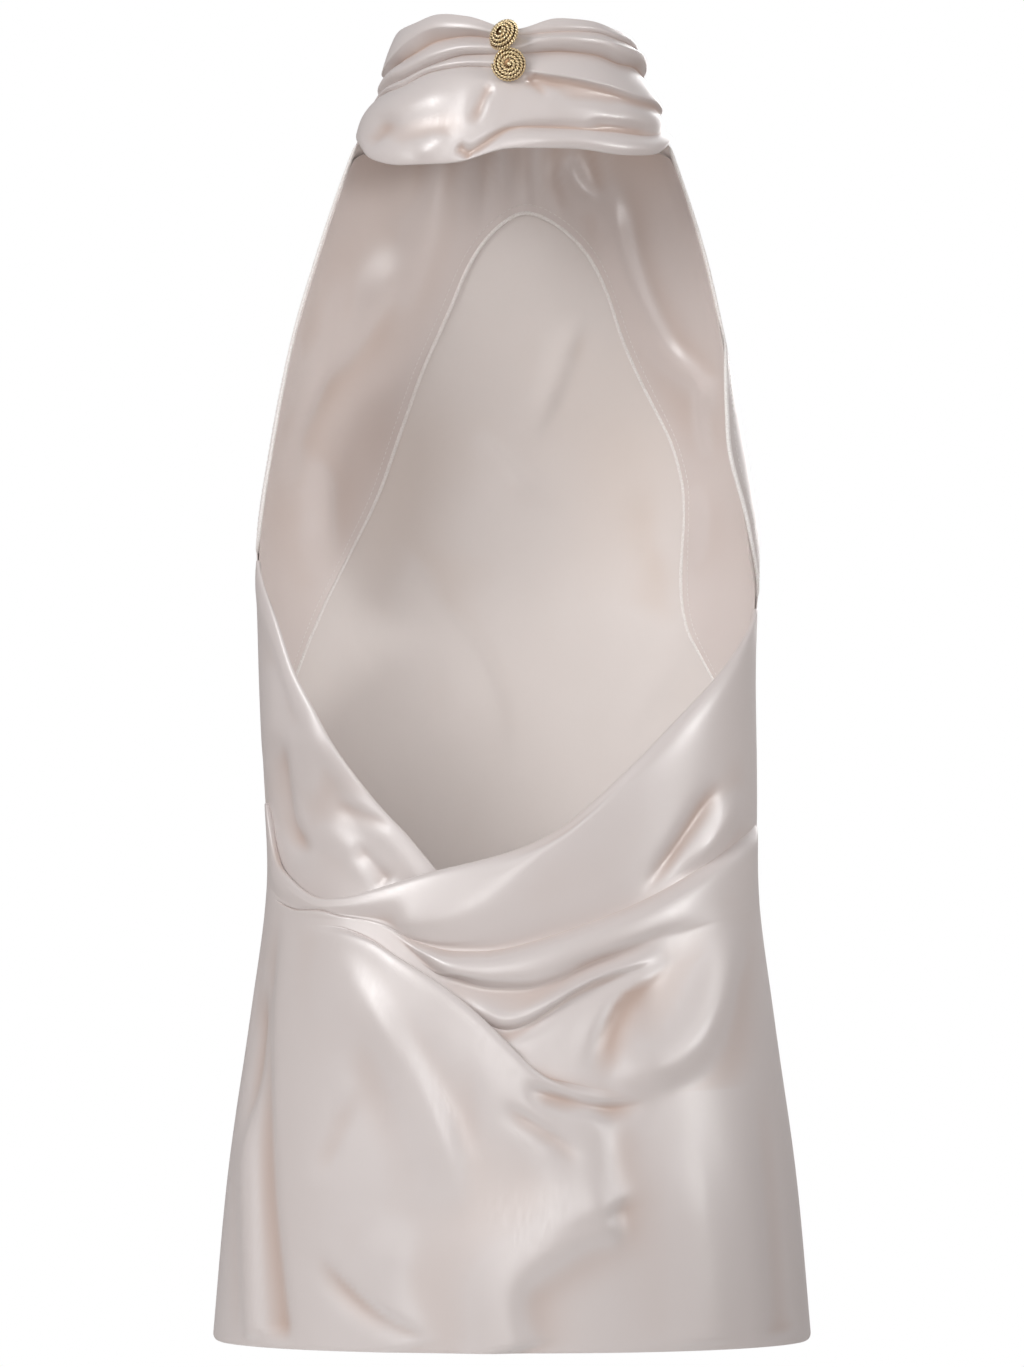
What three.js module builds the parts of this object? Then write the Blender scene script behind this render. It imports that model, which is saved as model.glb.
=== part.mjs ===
// A satin halter neck top: a gathered collar with two domed buttons, an open back and a back drape.
// It has the hollow form that it keeps when a general figure wears it.
// Units are millimetres and +Z is up. The origin is the middle of the collar, where the neck carries it.
// The open back faces -Y and the front faces +Y, so +X is the wearer's right.
import * as THREE from "three";

// Driving dimensions
const CLOTH = 1.2;
const FACING_CLOTH = 1.0;
const FACING_INSET = 2.4;
const HEM = { side: -726, front: -724, back: -721.5 };
const SECTION_POWER = 2.2;
const SEAM_DEGREES = 0.1;
const COLLAR_SEAM = 0.8;
const BUTTON_RADIUS = 9.5;

// Angles round a section, in degrees from the wearer's right side through the front
const LEFT = 180;
const RIGHT = 360;
const NAPE = -90;
const FULL_TURN = 360;

// How many steps each sheet has along it and down it
const STEPS = {
  front: 28,
  facing: { along: 48, across: 5 },
  collar: 50,
  drape: { along: 40, below: 12 },
  under: { along: 16, down: 12 },
  button: 18,
};

// Level sections of the top: where its middle lies, half its width, and its depths before and behind.
const SECTIONS = [
  { z: 40, middle: 1.2, side: 67, front: 55, back: 61 },
  { z: 15, middle: 1.2, side: 73, front: 58, back: 66 },
  { z: -9, middle: 0.8, side: 81.5, front: 60, back: 70 },
  { z: -38, middle: 0.2, side: 92.5, front: 64, back: 76 },
  { z: -96, middle: -0.3, side: 112, front: 76, back: 86 },
  { z: -154, middle: -2.4, side: 127, front: 96, back: 93 },
  { z: -212, middle: -2.6, side: 138, front: 110, back: 94 },
  { z: -270, middle: -2.3, side: 146, front: 111, back: 92 },
  { z: -328, middle: -3, side: 144, front: 101, back: 89 },
  { z: -403, middle: -1, side: 143, front: 94, back: 87 },
  { z: -450, middle: 0.3, side: 141.5, front: 95, back: 91 },
  { z: -542, middle: 0, side: 152, front: 106, back: 109 },
  { z: -635, middle: 0, side: 165, front: 113, back: 119 },
  { z: -730, middle: 0, side: 173.5, front: 116, back: 122 },
];

// How far the two armhole edges of the front reach round behind the sides, in degrees.
const ARMHOLES = [
  { z: -31, left: 0.2, right: 0.2 },
  { z: -96, left: 3, right: 0.5 },
  { z: -145, left: 6, right: 1 },
  { z: -165, left: 7, right: 14 },
  { z: -190, left: 8, right: 21 },
  { z: -214, left: 8, right: 24 },
  { z: -250, left: 8, right: 19 },
  { z: -266, left: 5, right: 16 },
  { z: -274, left: 0, right: 13.5 },
  { z: -286, left: 0, right: 7.5 },
  { z: -299, left: 0, right: 0 },
  { z: -320, left: 0, right: 0 },
];
const FRONT_ROWS = [
  -31, -52, -76, -103, -128, -145, -156, -167, -184, -202, -220, -238, -250, -260, -267, -274, -282, -290,
  -299, -320, -365, -415, -470, -535, -600, -665, -725,
];
const EDGE_REACH = 40;
const BUST = { height: -232, apart: 66, rise: 9, wide: 40, tall: 58, fade: 1.4 };

// Lines round the collar where it is gathered to the buttons, from its top edge down to its lower edge.
// A row has its height at each station and how far it stands out left and right of the nape.
const COLLAR_STATIONS = {
  nape: -90,
  right1: -70,
  right2: -52,
  right3: -34,
  right4: -18,
  right5: 0,
  front: 90,
  left5: 180,
  left4: 198,
  left3: 214,
  left2: 232,
  left1: 250,
};
const COLLAR_ROWS = [
  {
    left5: 26.2, left4: 29.5, left3: 31.5, left2: 35.4, left1: 33, nape: 25, right1: 32.2,
    right2: 31.6, right3: 27.8, right4: 26, right5: 20.4, front: 18, outLeft: -0.8, outRight: -1,
  },
  {
    left5: 16, left4: 21, left3: 25.5, left2: 31, left1: 29, nape: 23.8, right1: 28,
    right2: 27.5, right3: 24.2, right4: 23, right5: 17, front: 15, outLeft: 0.6, outRight: 0.6,
  },
  {
    left5: 5.9, left4: 13.2, left3: 21.3, left2: 27.6, left1: 26.4, nape: 22, right1: 24.4,
    right2: 25.3, right3: 22.5, right4: 20.1, right5: 13.4, front: 12, outLeft: 0.4, outRight: -0.6,
  },
  {
    left5: 3, left4: 10.4, left3: 14.5, left2: 20.8, left1: 22.5, nape: 19, right1: 21,
    right2: 21, right3: 17.5, right4: 16, right5: 10.5, front: 8.5, outLeft: -4.2, outRight: 2.4,
  },
  {
    left5: -1.6, left4: 3.5, left3: 4.8, left2: 11.7, left1: 15.4, nape: 14.5, right1: 17.1,
    right2: 16.2, right3: 12.5, right4: 12.6, right5: 7.6, front: 5, outLeft: 0.8, outRight: 1.6,
  },
  {
    left5: -6.9, left4: -2.3, left3: 0.3, left2: 7.1, left1: 11.7, nape: 11.5, right1: 13.4,
    right2: 12.5, right3: 8.4, right4: 8.2, right5: 4.2, front: 1.5, outLeft: -3.8, outRight: -2.6,
  },
  {
    left5: -9.8, left4: -4.6, left3: -2, left2: 4.8, left1: 7.1, nape: 7, right1: 6,
    right2: 3, right3: -1, right4: -2, right5: -6, front: -2, outLeft: -0.8, outRight: 1.2,
  },
  {
    left5: -12.7, left4: -6.9, left3: -5.4, left2: 2, left1: 4.6, nape: 2, right1: -2,
    right2: -5.9, right3: -10.5, right4: -12.1, right5: -16.1, front: -5, outLeft: -2.6, outRight: 2.4,
  },
  {
    left5: -15.6, left4: -10.4, left3: -8.8, left2: -2, left1: 1.4, nape: -2, right1: -5.4,
    right2: -9.9, right3: -14.5, right4: -15.5, right5: -18.5, front: -8, outLeft: 0, outRight: -1.2,
  },
  {
    left5: -19, left4: -17, left3: -18, left2: -14, left1: -11.5, nape: -11.5, right1: -14,
    right2: -16, right3: -19.5, right4: -20, right5: -21, front: -12, outLeft: 1.6, outRight: 1,
  },
  {
    left5: -23, left4: -24, left3: -28, left2: -27, left1: -24, nape: -22, right1: -23.5,
    right2: -24, right3: -26.5, right4: -26, right5: -24, front: -16, outLeft: 1.8, outRight: 0.2,
  },
  {
    left5: -27, left4: -30, left3: -36, left2: -38, left1: -36, nape: -30.5, right1: -31.5,
    right2: -32.3, right3: -33, right4: -31, right5: -27, front: -20, outLeft: 1.4, outRight: -1.6,
  },
  {
    left5: -29.3, left4: -34, left3: -42, left2: -46, left1: -45, nape: -36.5, right1: -36.5,
    right2: -38, right3: -38, right4: -34.5, right5: -29.3, front: -23.5, outLeft: 1.2, outRight: 3.4,
  },
  {
    left5: -31, left4: -37, left3: -46.8, left2: -51.7, left1: -51.7, nape: -43, right1: -43.1,
    right2: -45.7, right3: -44.3, right4: -37.7, right5: -31, front: -27, outLeft: 0.4, outRight: 1.2,
  },
];
const NAPE_PINCH = { share: 0.5, width: 11 };
// The collar's columns stand closer at the nape, and its folds fade out from the back over this share.
const COLLAR_CLOSER = 0.4;
const COLLAR_FADE = { from: 0.45, over: 0.75 };
const COLLAR_SIDES = { middle: 0.5, steep: 3 };

// The facing inside the front, from the left side seam over the arch to the right one.
// Its inner edge is given across and up, and its outer edge as an angle round the section and a height.
const FACING_STATIONS = [
  { across: -140.5, up: -392, degrees: 180, height: -380 },
  { across: -128, up: -341, degrees: 180, height: -330 },
  { across: -115, up: -307, degrees: 180, height: -292 },
  { across: -97, up: -272, degrees: 186, height: -262 },
  { across: -77, up: -235, degrees: 187.5, height: -218 },
  { across: -65, up: -197, degrees: 187, height: -178 },
  { across: -54, up: -162, degrees: 185.5, height: -136 },
  { across: -39, up: -129, degrees: 183, height: -94 },
  { across: -25, up: -97, degrees: 180, height: -48 },
  { across: -9, up: -77, degrees: 140, height: -34 },
  { across: 8, up: -68, degrees: 90, height: -30 },
  { across: 26, up: -75, degrees: 40, height: -34 },
  { across: 46, up: -94, degrees: 0, height: -48 },
  { across: 58, up: -118, degrees: -0.4, height: -94 },
  { across: 66, up: -143, degrees: -0.8, height: -136 },
  { across: 81, up: -178, degrees: -17, height: -176 },
  { across: 95, up: -209, degrees: -23.3, height: -214 },
  { across: 101.5, up: -239, degrees: -19.5, height: -246 },
  { across: 100, up: -277, degrees: -16, height: -276 },
  { across: 101.5, up: -304, degrees: -0.5, height: -305 },
  { across: 118, up: -342, degrees: 0, height: -345 },
  { across: 140.5, up: -395, degrees: 0, height: -384 },
];

// The under layer of the back, from the left side seam: its crossing upper edge and its hidden lower edge.
const UNDER_EDGES = [
  { across: -147.5, top: -276, low: -440 },
  { across: -141.7, top: -296, low: -452 },
  { across: -136, top: -310, low: -462 },
  { across: -124, top: -342.7, low: -474 },
  { across: -114, top: -361, low: -480 },
  { across: -103.6, top: -379.7, low: -484 },
  { across: -91, top: -399, low: -486 },
  { across: -77, top: -416.4, low: -487 },
  { across: -61, top: -432.7, low: -488 },
  { across: -44, top: -452.4, low: -489 },
  { across: -32, top: -464.6, low: -490 },
];
const FACING_TRIM = { left: 7.5, right: -23.5 };
const UNDER_INSIDE = { offset: -2.6, from: -380, to: -412 };
const UNDER_VALLEY = {
  line: [[-132.5, -375], [-134, -398], [-131, -424], [-117.5, -445]],
  height: -4.0,
  half: 6,
};

// Lines on the back drape as points across and up: its upper edge, the band below it and the cowl folds.
const DRAPE_LINES = {
  edge: [
    [-141.5, -416], [-138.8, -431.4], [-134.4, -449], [-124.6, -460.4], [-113.9, -467.4],
    [-106.9, -469.5], [-92.4, -468.1], [-78.7, -463.9], [-64.5, -459.2], [-44.1, -452.9],
    [-18.1, -446.7], [4.5, -439.9], [27.1, -428.6], [49.8, -410.1], [72.5, -388.7], [95.5, -365.5],
    [115.8, -345], [133.6, -322.1], [142, -303.5],
  ],
  band: [
    [-106.8, -474], [-88, -480], [-68.9, -482.9], [-52.5, -481], [-32.7, -474.7], [-12.4, -464.6],
    [23.7, -434.8], [80.5, -396], [107, -370], [133.6, -336], [141.2, -322],
  ],
  cowl: [
    [-103.4, -476], [-91.8, -482], [-75.2, -486.9], [-62.6, -491.2], [-48.5, -496.6], [-32.7, -499.9],
    [-16.3, -499.8], [3.9, -496.5], [23.7, -490.9], [47.9, -482.7], [68.4, -475], [89, -465.2],
    [109.3, -453.7], [130.7, -440.1], [140.9, -430.4],
  ],
  second: [
    [-32.1, -512.7], [-22.5, -516.6], [-12.4, -518.8], [7.9, -518.8], [23.6, -514.3], [36, -508.8],
    [51.8, -501.7], [96.9, -487.3], [141.1, -474.6],
  ],
  third: [
    [-16.3, -537.1], [-4.5, -541.5], [7.9, -538.2], [19.7, -530.5], [32.1, -522], [47.9, -514],
    [68.3, -508], [98.6, -500], [141, -492],
  ],
};
// The rows of the drape above the tuck: a line, the next line and the share of the way to it, a drop,
// how far the row stands out and how far across it does.
const DRAPE_ROWS = [
  { line: "edge", next: "edge", share: 0, drop: 0, out: -1.4, to: 200 },
  { line: "edge", next: "edge", share: 0, drop: 2.5, out: 0.6, to: 200 },
  { line: "edge", next: "band", share: 0.5, drop: 0, out: 1.8, to: 200 },
  { line: "band", next: "band", share: 0, drop: 0, out: 2.4, to: 120 },
  { line: "band", next: "cowl", share: 0.35, drop: 0, out: 0.6, to: 200 },
  { line: "band", next: "cowl", share: 0.7, drop: 0, out: -1.2, to: 200 },
  { line: "cowl", next: "cowl", share: 0, drop: -4.5, out: -3.2, to: 200 },
  { line: "cowl", next: "cowl", share: 0, drop: -0.8, out: -1.8, to: 200 },
  { line: "cowl", next: "cowl", share: 0, drop: 3, out: 3.4, to: 200 },
  { line: "cowl", next: "second", share: 0.45, drop: 1, out: 3.6, to: 110 },
  { line: "second", next: "second", share: 0, drop: -2.5, out: 1.4, to: 100 },
  { line: "second", next: "second", share: 0, drop: 1.5, out: -1.8, to: 100 },
  { line: "second", next: "third", share: 0.5, drop: 0.8, out: 1.2, to: 100 },
  { line: "third", next: "third", share: 0, drop: -1, out: 0.2, to: 100 },
  { line: "third", next: "third", share: 0, drop: 2.5, out: -2.0, to: 100 },
  { line: "third", next: "third", share: 0, drop: 9, out: 1.2, to: 100 },
];
const ROW_CLEAR = { most: 1.2, share: 0.55, shown: 4, hidden: -1.6, fade: 30, lap: 3 };
// The tuck: the lower cloth laps over the folds along this line, by a depth, and stands out by a height.
const TUCK = [
  { across: -151, z: -486, lap: 0, height: 0 },
  { across: -116, z: -487, lap: 0, height: 0 },
  { across: -100, z: -487, lap: 0.5, height: 1.8 },
  { across: -77, z: -492, lap: 4, height: 4.5 },
  { across: -66.6, z: -498.5, lap: 6, height: 5.5 },
  { across: -48.4, z: -509.5, lap: 8.5, height: 6.5 },
  { across: -32.6, z: -520.5, lap: 9.5, height: 7 },
  { across: -22.5, z: -528.5, lap: 9.5, height: 7 },
  { across: -4.5, z: -546, lap: 8, height: 6.5 },
  { across: 17.4, z: -567, lap: 3.5, height: 5 },
  { across: 30, z: -572, lap: 0.5, height: 2.5 },
  { across: 60, z: -578, lap: 0, height: 0 },
  { across: 157, z: -580, lap: 0, height: 0 },
];
// Where the sheet is as it goes through the tuck: a step down, a share of the lap and a share of the height.
const TUCK_PATH = [
  { step: 0.0, lap: 1.0, height: 0.0 },
  { step: 1.0, lap: 1.12, height: 0.22 },
  { step: 2.0, lap: 0.6, height: 0.5 },
  { step: 3.2, lap: 0.05, height: 0.72 },
  { step: 4.6, lap: -0.1, height: 0.98 },
  { step: 6.4, lap: 0.15, height: 1.12 },
  { step: 9.0, lap: 0.6, height: 1.06 },
];
const TUCK_FALL = 48;

// Broad soft ridges and troughs of the lower back: a line, a height (below zero in a trough), half a width.
const SOFT_FOLDS = [
  { line: [[127, -477], [116, -522], [90, -558], [73, -570]], height: 4.0, half: 15 },
  { line: [[50, -520], [53, -568]], height: -3.0, half: 9 },
  { line: [[-9, -571], [14, -594], [33, -611]], height: -2.0, half: 5 },
  { line: [[-104, -480], [-70, -530], [-40, -590], [-30, -640]], height: 2.2, half: 14 },
  { line: [[-152, -560], [-156, -620], [-160, -726]], height: -3.2, half: 6 },
  { line: [[-140, -600], [-143, -660], [-146, -726]], height: 2.0, half: 8 },
];
const SEAM_REACH = 3;
const DRAPE_RISE = { out: 2.6, from: 40, over: 80, down: 60 };

const SATIN = new THREE.MeshStandardMaterial({ color: 0xd8cbc5, roughness: 0.35, metalness: 0 });
const SATIN_INSIDE = new THREE.MeshStandardMaterial({ color: 0xc9b8ad, roughness: 0.45, metalness: 0 });
const GOLD = new THREE.MeshStandardMaterial({ color: 0xb99352, roughness: 0.3, metalness: 1 });

const toRadians = (degrees) => (degrees * Math.PI) / 180;
const toDegrees = (radians) => (radians * 180) / Math.PI;
const lerp = (a, b, share) => a + (b - a) * share;
const smooth = (share) => {
  const s = Math.min(1, Math.max(0, share));
  return s * s * (3 - 2 * s);
};

// A smooth curve through the points that never overshoots them: cubic pieces with limited slopes.
function curveThrough(xs, ys) {
  const order = xs.map((_, i) => i).sort((a, b) => xs[a] - xs[b]);
  const x = order.map((i) => xs[i]);
  const y = order.map((i) => ys[i]);
  const last = x.length - 1;
  const slope = x.slice(1).map((next, i) => (y[i + 1] - y[i]) / (next - x[i]));
  const tangent = x.map((_, i) => {
    if (i === 0) return slope[0];
    if (i === last) return slope[last - 1];
    if (slope[i - 1] * slope[i] <= 0) return 0;
    return (2 * slope[i - 1] * slope[i]) / (slope[i - 1] + slope[i]);
  });
  return (at) => {
    if (at <= x[0]) return y[0];
    if (at >= x[last]) return y[last];
    const i = x.findIndex((next) => next > at) - 1;
    const width = x[i + 1] - x[i];
    const t = (at - x[i]) / width;
    const rise = (3 - 2 * t) * t * t;
    const bend = width * t * (1 - t);
    return y[i] + (y[i + 1] - y[i]) * rise + bend * (tangent[i] * (1 - t) - tangent[i + 1] * t);
  };
}
const column = (rows, x, y) => curveThrough(rows.map((row) => row[x]), rows.map((row) => row[y]));

const middleAt = column(SECTIONS, "z", "middle");
const sideAt = column(SECTIONS, "z", "side");
const frontAt = column(SECTIONS, "z", "front");
const backAt = column(SECTIONS, "z", "back");
const leftArmhole = column(ARMHOLES, "z", "left");
const rightArmhole = column(ARMHOLES, "z", "right");

// A point of the section at a height: at an angle from the right side through the front, moved out.
function ring(degrees, z, out = 0) {
  const across = Math.cos(toRadians(degrees));
  const deep = Math.sin(toRadians(degrees));
  const side = sideAt(z);
  const depth = deep >= 0 ? frontAt(z) : backAt(z);
  const x = side * Math.sign(across) * Math.abs(across) ** (2 / SECTION_POWER);
  const y = depth * Math.sign(deep) * Math.abs(deep) ** (2 / SECTION_POWER);
  const normal = new THREE.Vector2(x / side ** 2, y / depth ** 2).normalize();
  return new THREE.Vector3(middleAt(z) + x + normal.x * out, y + normal.y * out, z);
}

// The angle round the section of a point that lies across at a height, on the front or on the back.
function angleAt(across, z, onBack) {
  const fromMiddle = across - middleAt(z);
  const share = Math.min(1, Math.abs(fromMiddle) / sideAt(z));
  const angle = toDegrees(Math.acos(Math.sign(fromMiddle) * share ** (SECTION_POWER / 2)));
  return onBack ? 360 - angle : angle;
}

// The height of a line on the back as a function of the angle, from points across and up.
function backLine(points) {
  return curveThrough(points.map(([across, z]) => angleAt(across, z, true)), points.map(([, z]) => z));
}

// A wall of cloth: a grid of middle points with a skin moved out and a skin moved in, closed at its edges.
// A ring's last column is its first one.
function wall(pointAt, columns, rows, thickness, isRing = false) {
  const across = isRing ? columns : columns + 1;
  const at = (i, j) => j * across + (isRing ? (i + across) % across : i);
  const beside = (i) => (isRing ? i : Math.min(columns, Math.max(0, i)));
  const upDown = (j) => Math.min(rows, Math.max(0, j));
  const middle = [];
  for (let j = 0; j <= rows; j++)
    for (let i = 0; i < across; i++) middle.push(pointAt(i / columns, j / rows));
  const skins = [[], []];
  for (let j = 0; j <= rows; j++)
    for (let i = 0; i < across; i++) {
      const along = middle[at(beside(i + 1), j)].clone().sub(middle[at(beside(i - 1), j)]);
      const down = middle[at(i, upDown(j + 1))].clone().sub(middle[at(i, upDown(j - 1))]);
      const normal = along.cross(down).normalize();
      skins[0].push(middle[at(i, j)].clone().addScaledVector(normal, thickness / 2));
      skins[1].push(middle[at(i, j)].clone().addScaledVector(normal, -thickness / 2));
    }
  const inner = middle.length;
  const faces = [];
  const quad = (a, b, c, d) => faces.push(a, b, c, a, c, d);
  for (let j = 0; j < rows; j++)
    for (let i = 0; i < columns; i++) {
      const corners = [at(i, j), at(i + 1, j), at(i + 1, j + 1), at(i, j + 1)];
      const [a, b, c, d] = corners.map((k) => k + inner);
      quad(...corners);
      quad(a, d, c, b);
    }
  const rim = (from, to) => quad(to, from, from + inner, to + inner);
  for (let i = 0; i < columns; i++) {
    rim(at(i, 0), at(i + 1, 0));
    rim(at(i + 1, rows), at(i, rows));
  }
  for (let j = 0; j < rows && !isRing; j++) {
    rim(at(columns, j), at(columns, j + 1));
    rim(at(0, j + 1), at(0, j));
  }
  const geometry = new THREE.BufferGeometry();
  geometry.setAttribute(
    "position",
    new THREE.Float32BufferAttribute(skins.flat().flatMap((p) => [p.x, p.y, p.z]), 3),
  );
  geometry.setIndex(faces);
  geometry.computeVertexNormals();
  return geometry;
}

function named(name, geometry, material) {
  const mesh = new THREE.Mesh(geometry, material);
  mesh.name = name;
  return mesh;
}

// Bust shaping that the cut of the front gives: two soft rises beside the middle.
function bustRise(point) {
  const beside = (Math.abs(point.x) - BUST.apart) / BUST.wide;
  const above = (point.z - BUST.height) / BUST.tall;
  return BUST.rise * Math.exp(-beside * beside - above * above);
}

function frontPoint(degrees, z, out) {
  const point = ring(degrees, z, 0);
  return ring(degrees, z, out + bustRise(point) * smooth(Math.sin(toRadians(degrees)) * BUST.fade));
}

// The height of the hem at an angle round it.
function hemAt(degrees) {
  const deep = Math.sin(toRadians(degrees));
  return lerp(HEM.side, deep > 0 ? HEM.front : HEM.back, Math.abs(deep));
}

// The height of a row of the collar at an angle: its stations are met all the way round.
const collarRowAt = COLLAR_ROWS.map((row) => {
  const places = Object.entries(COLLAR_STATIONS);
  const turns = [-FULL_TURN, 0, FULL_TURN];
  const angles = turns.flatMap((turn) => places.map(([, degrees]) => degrees + turn));
  const heights = turns.flatMap(() => places.map(([name]) => row[name]));
  return curveThrough(angles, heights);
});

// The front: one panel from the collar seam to the hem, between the armholes and then the side seams.
function makeFront() {
  const shares = FRONT_ROWS.map((_, k) => k / (FRONT_ROWS.length - 1));
  const rowAt = curveThrough(shares, FRONT_ROWS);
  const seamAt = collarRowAt[COLLAR_ROWS.length - 1];
  const last = FRONT_ROWS[FRONT_ROWS.length - 1];
  const pointAt = (u, v) => {
    const nominal = lerp(LEFT, 0, u);
    const row = rowAt(v);
    const seamRise = seamAt(nominal) - COLLAR_SEAM - FRONT_ROWS[0];
    const hemDrop = hemAt(nominal) - last;
    const nearSeam = Math.exp((row - FRONT_ROWS[0]) / EDGE_REACH);
    const nearHem = Math.exp((last - row) / EDGE_REACH);
    const z = row + seamRise * nearSeam + hemDrop * nearHem;
    const left = LEFT - SEAM_DEGREES + leftArmhole(z);
    const right = SEAM_DEGREES - rightArmhole(z);
    return frontPoint(lerp(left, right, u), z, 0);
  };
  return named("front", wall(pointAt, STEPS.front, FRONT_ROWS.length - 1, CLOTH), SATIN);
}

// The facing: a band inside the front, from its armhole and neck edges in to a free arched edge.
function makeFacing() {
  const along = FACING_STATIONS.map((_, k) => k / (FACING_STATIONS.length - 1));
  const innerAngle = curveThrough(along, FACING_STATIONS.map((s) => angleAt(s.across, s.up, false)));
  const innerHeight = curveThrough(along, FACING_STATIONS.map((s) => s.up));
  const outerAngle = curveThrough(along, FACING_STATIONS.map((s) => s.degrees));
  const outerHeight = curveThrough(along, FACING_STATIONS.map((s) => s.height));
  const pointAt = (u, v) => {
    const degrees = lerp(innerAngle(u), outerAngle(u), v);
    const trimmed = Math.min(LEFT + FACING_TRIM.left, Math.max(FACING_TRIM.right, degrees));
    return frontPoint(trimmed, lerp(innerHeight(u), outerHeight(u), v), -FACING_INSET);
  };
  const { along: columns, across: rows } = STEPS.facing;
  return named("front_facing", wall((u, v) => pointAt(1 - u, v), columns, rows, FACING_CLOTH), SATIN_INSIDE);
}

// The collar: one gathered ring round the neck, pinched together at the nape.
function makeCollar() {
  const rows = COLLAR_ROWS.length - 1;
  const pointAt = (u, v) => {
    const turned = 1 - u;
    const closer = turned - (COLLAR_CLOSER * Math.sin(2 * Math.PI * turned)) / (2 * Math.PI);
    const degrees = lerp(NAPE, NAPE + FULL_TURN, closer);
    const row = COLLAR_ROWS[Math.round(v * rows)];
    const z = collarRowAt[Math.round(v * rows)](degrees);
    const fromFront = Math.sin(toRadians(degrees));
    const onBack = 1 - smooth((fromFront + COLLAR_FADE.from) / COLLAR_FADE.over);
    const toLeft = smooth(COLLAR_SIDES.middle - Math.cos(toRadians(degrees)) * COLLAR_SIDES.steep);
    const fromNape = Math.min(Math.abs(degrees - NAPE), Math.abs(degrees - NAPE - FULL_TURN));
    const pinch = 1 - NAPE_PINCH.share * Math.exp(-((fromNape / NAPE_PINCH.width) ** 2));
    return ring(degrees, z, onBack * pinch * lerp(row.outRight, row.outLeft, toLeft));
  };
  return named("collar", wall(pointAt, STEPS.collar, rows, CLOTH, true), SATIN);
}

// How far a point of the back lies from a line of points across and up.
function offLine(points, point) {
  let nearest = Infinity;
  for (let k = 1; k < points.length; k++) {
    const [ax, az] = points[k - 1];
    const [bx, bz] = points[k];
    const long = (bx - ax) ** 2 + (bz - az) ** 2;
    const share = Math.min(1, Math.max(0, ((point.x - ax) * (bx - ax) + (point.z - az) * (bz - az)) / long));
    nearest = Math.min(nearest, Math.hypot(point.x - lerp(ax, bx, share), point.z - lerp(az, bz, share)));
  }
  return nearest;
}

const softFold = (fold, point) => fold.height * Math.exp(-((offLine(fold.line, point) / fold.half) ** 2));

const drapeLines = Object.fromEntries(
  Object.entries(DRAPE_LINES).map(([name, line]) => [name, backLine(line)]),
);
const tuckAngles = TUCK.map((row) => angleAt(row.across, row.z, true));
const tuckLine = curveThrough(tuckAngles, TUCK.map((row) => row.z));
const tuckLap = curveThrough(tuckAngles, TUCK.map((row) => row.lap));
const tuckHeight = curveThrough(tuckAngles, TUCK.map((row) => row.height));

// How far out the drape lies before its folds and the tuck are added.
function drapeRelief(degrees, z) {
  const point = ring(degrees, z, 0);
  const fromSeams = smooth(Math.sin(toRadians(degrees - LEFT)) * SEAM_REACH);
  const nearTop = Math.exp(-Math.max(0, drapeLines.edge(degrees) - z) / DRAPE_RISE.down);
  const rise = DRAPE_RISE.out * nearTop * (1 - smooth((point.x - DRAPE_RISE.from) / DRAPE_RISE.over));
  const soft = SOFT_FOLDS.reduce((sum, fold) => sum + softFold(fold, point), 0);
  return fromSeams * (rise + soft);
}

// The heights and reliefs of the rows above the tuck at an angle, kept apart where the lines run together.
function rowsAboveTuck(degrees) {
  const end = tuckLine(degrees) - tuckLap(degrees);
  const gap = drapeLines.edge(degrees) - end;
  const clear = Math.min(ROW_CLEAR.most, (ROW_CLEAR.share * gap) / DRAPE_ROWS.length);
  const fromSeams = smooth(Math.sin(toRadians(degrees - LEFT)) * SEAM_REACH);
  const strength = fromSeams * (clear / ROW_CLEAR.most);
  let above = Infinity;
  return DRAPE_ROWS.map((row, k) => {
    const wanted = lerp(drapeLines[row.line](degrees), drapeLines[row.next](degrees), row.share) - row.drop;
    const least = end + (DRAPE_ROWS.length - k) * clear;
    const z = Math.max(Math.min(wanted, above - clear), least);
    above = z;
    const x = ring(degrees, z, 0).x;
    const shown = smooth((wanted - least) / ROW_CLEAR.shown);
    const reach = 1 - smooth((x - row.to) / ROW_CLEAR.fade + 0.5);
    return { z, out: strength * lerp(ROW_CLEAR.hidden, row.out * reach, shown) };
  });
}

// The back drape: one sheet from its crossed upper edge through the tuck to the hem.
function makeBackDrape() {
  const upperRows = DRAPE_ROWS.length;
  const lowerRows = STEPS.drape.below;
  const rows = upperRows + TUCK_PATH.length + lowerRows - 1;
  const last = TUCK_PATH[TUCK_PATH.length - 1];
  const pointAt = (u, v) => {
    const degrees = lerp(LEFT + SEAM_DEGREES, RIGHT - SEAM_DEGREES, u);
    const row = Math.round(v * rows);
    const lap = tuckLap(degrees);
    const height = tuckHeight(degrees);
    const line = tuckLine(degrees);
    if (row < upperRows) {
      const { z, out } = rowsAboveTuck(degrees)[row];
      return ring(degrees, z, drapeRelief(degrees, z) + out);
    }
    if (row < upperRows + TUCK_PATH.length) {
      const path = TUCK_PATH[row - upperRows];
      const z = line - path.step - path.lap * lap;
      const under = drapeRelief(degrees, line - lap) + ROW_CLEAR.hidden * smooth(lap / ROW_CLEAR.lap);
      const base = lerp(under, drapeRelief(degrees, z), path.height);
      return ring(degrees, z, base + path.height * height);
    }
    const start = line - last.step - last.lap * lap;
    const z = lerp(start, hemAt(degrees), (row - upperRows - TUCK_PATH.length + 1) / lowerRows);
    const fall = Math.exp(-(((start - z) / TUCK_FALL) ** 2));
    return ring(degrees, z, drapeRelief(degrees, z) + last.height * height * fall);
  };
  return named("back_drape", wall(pointAt, STEPS.drape.along, rows, CLOTH), SATIN);
}

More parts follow.
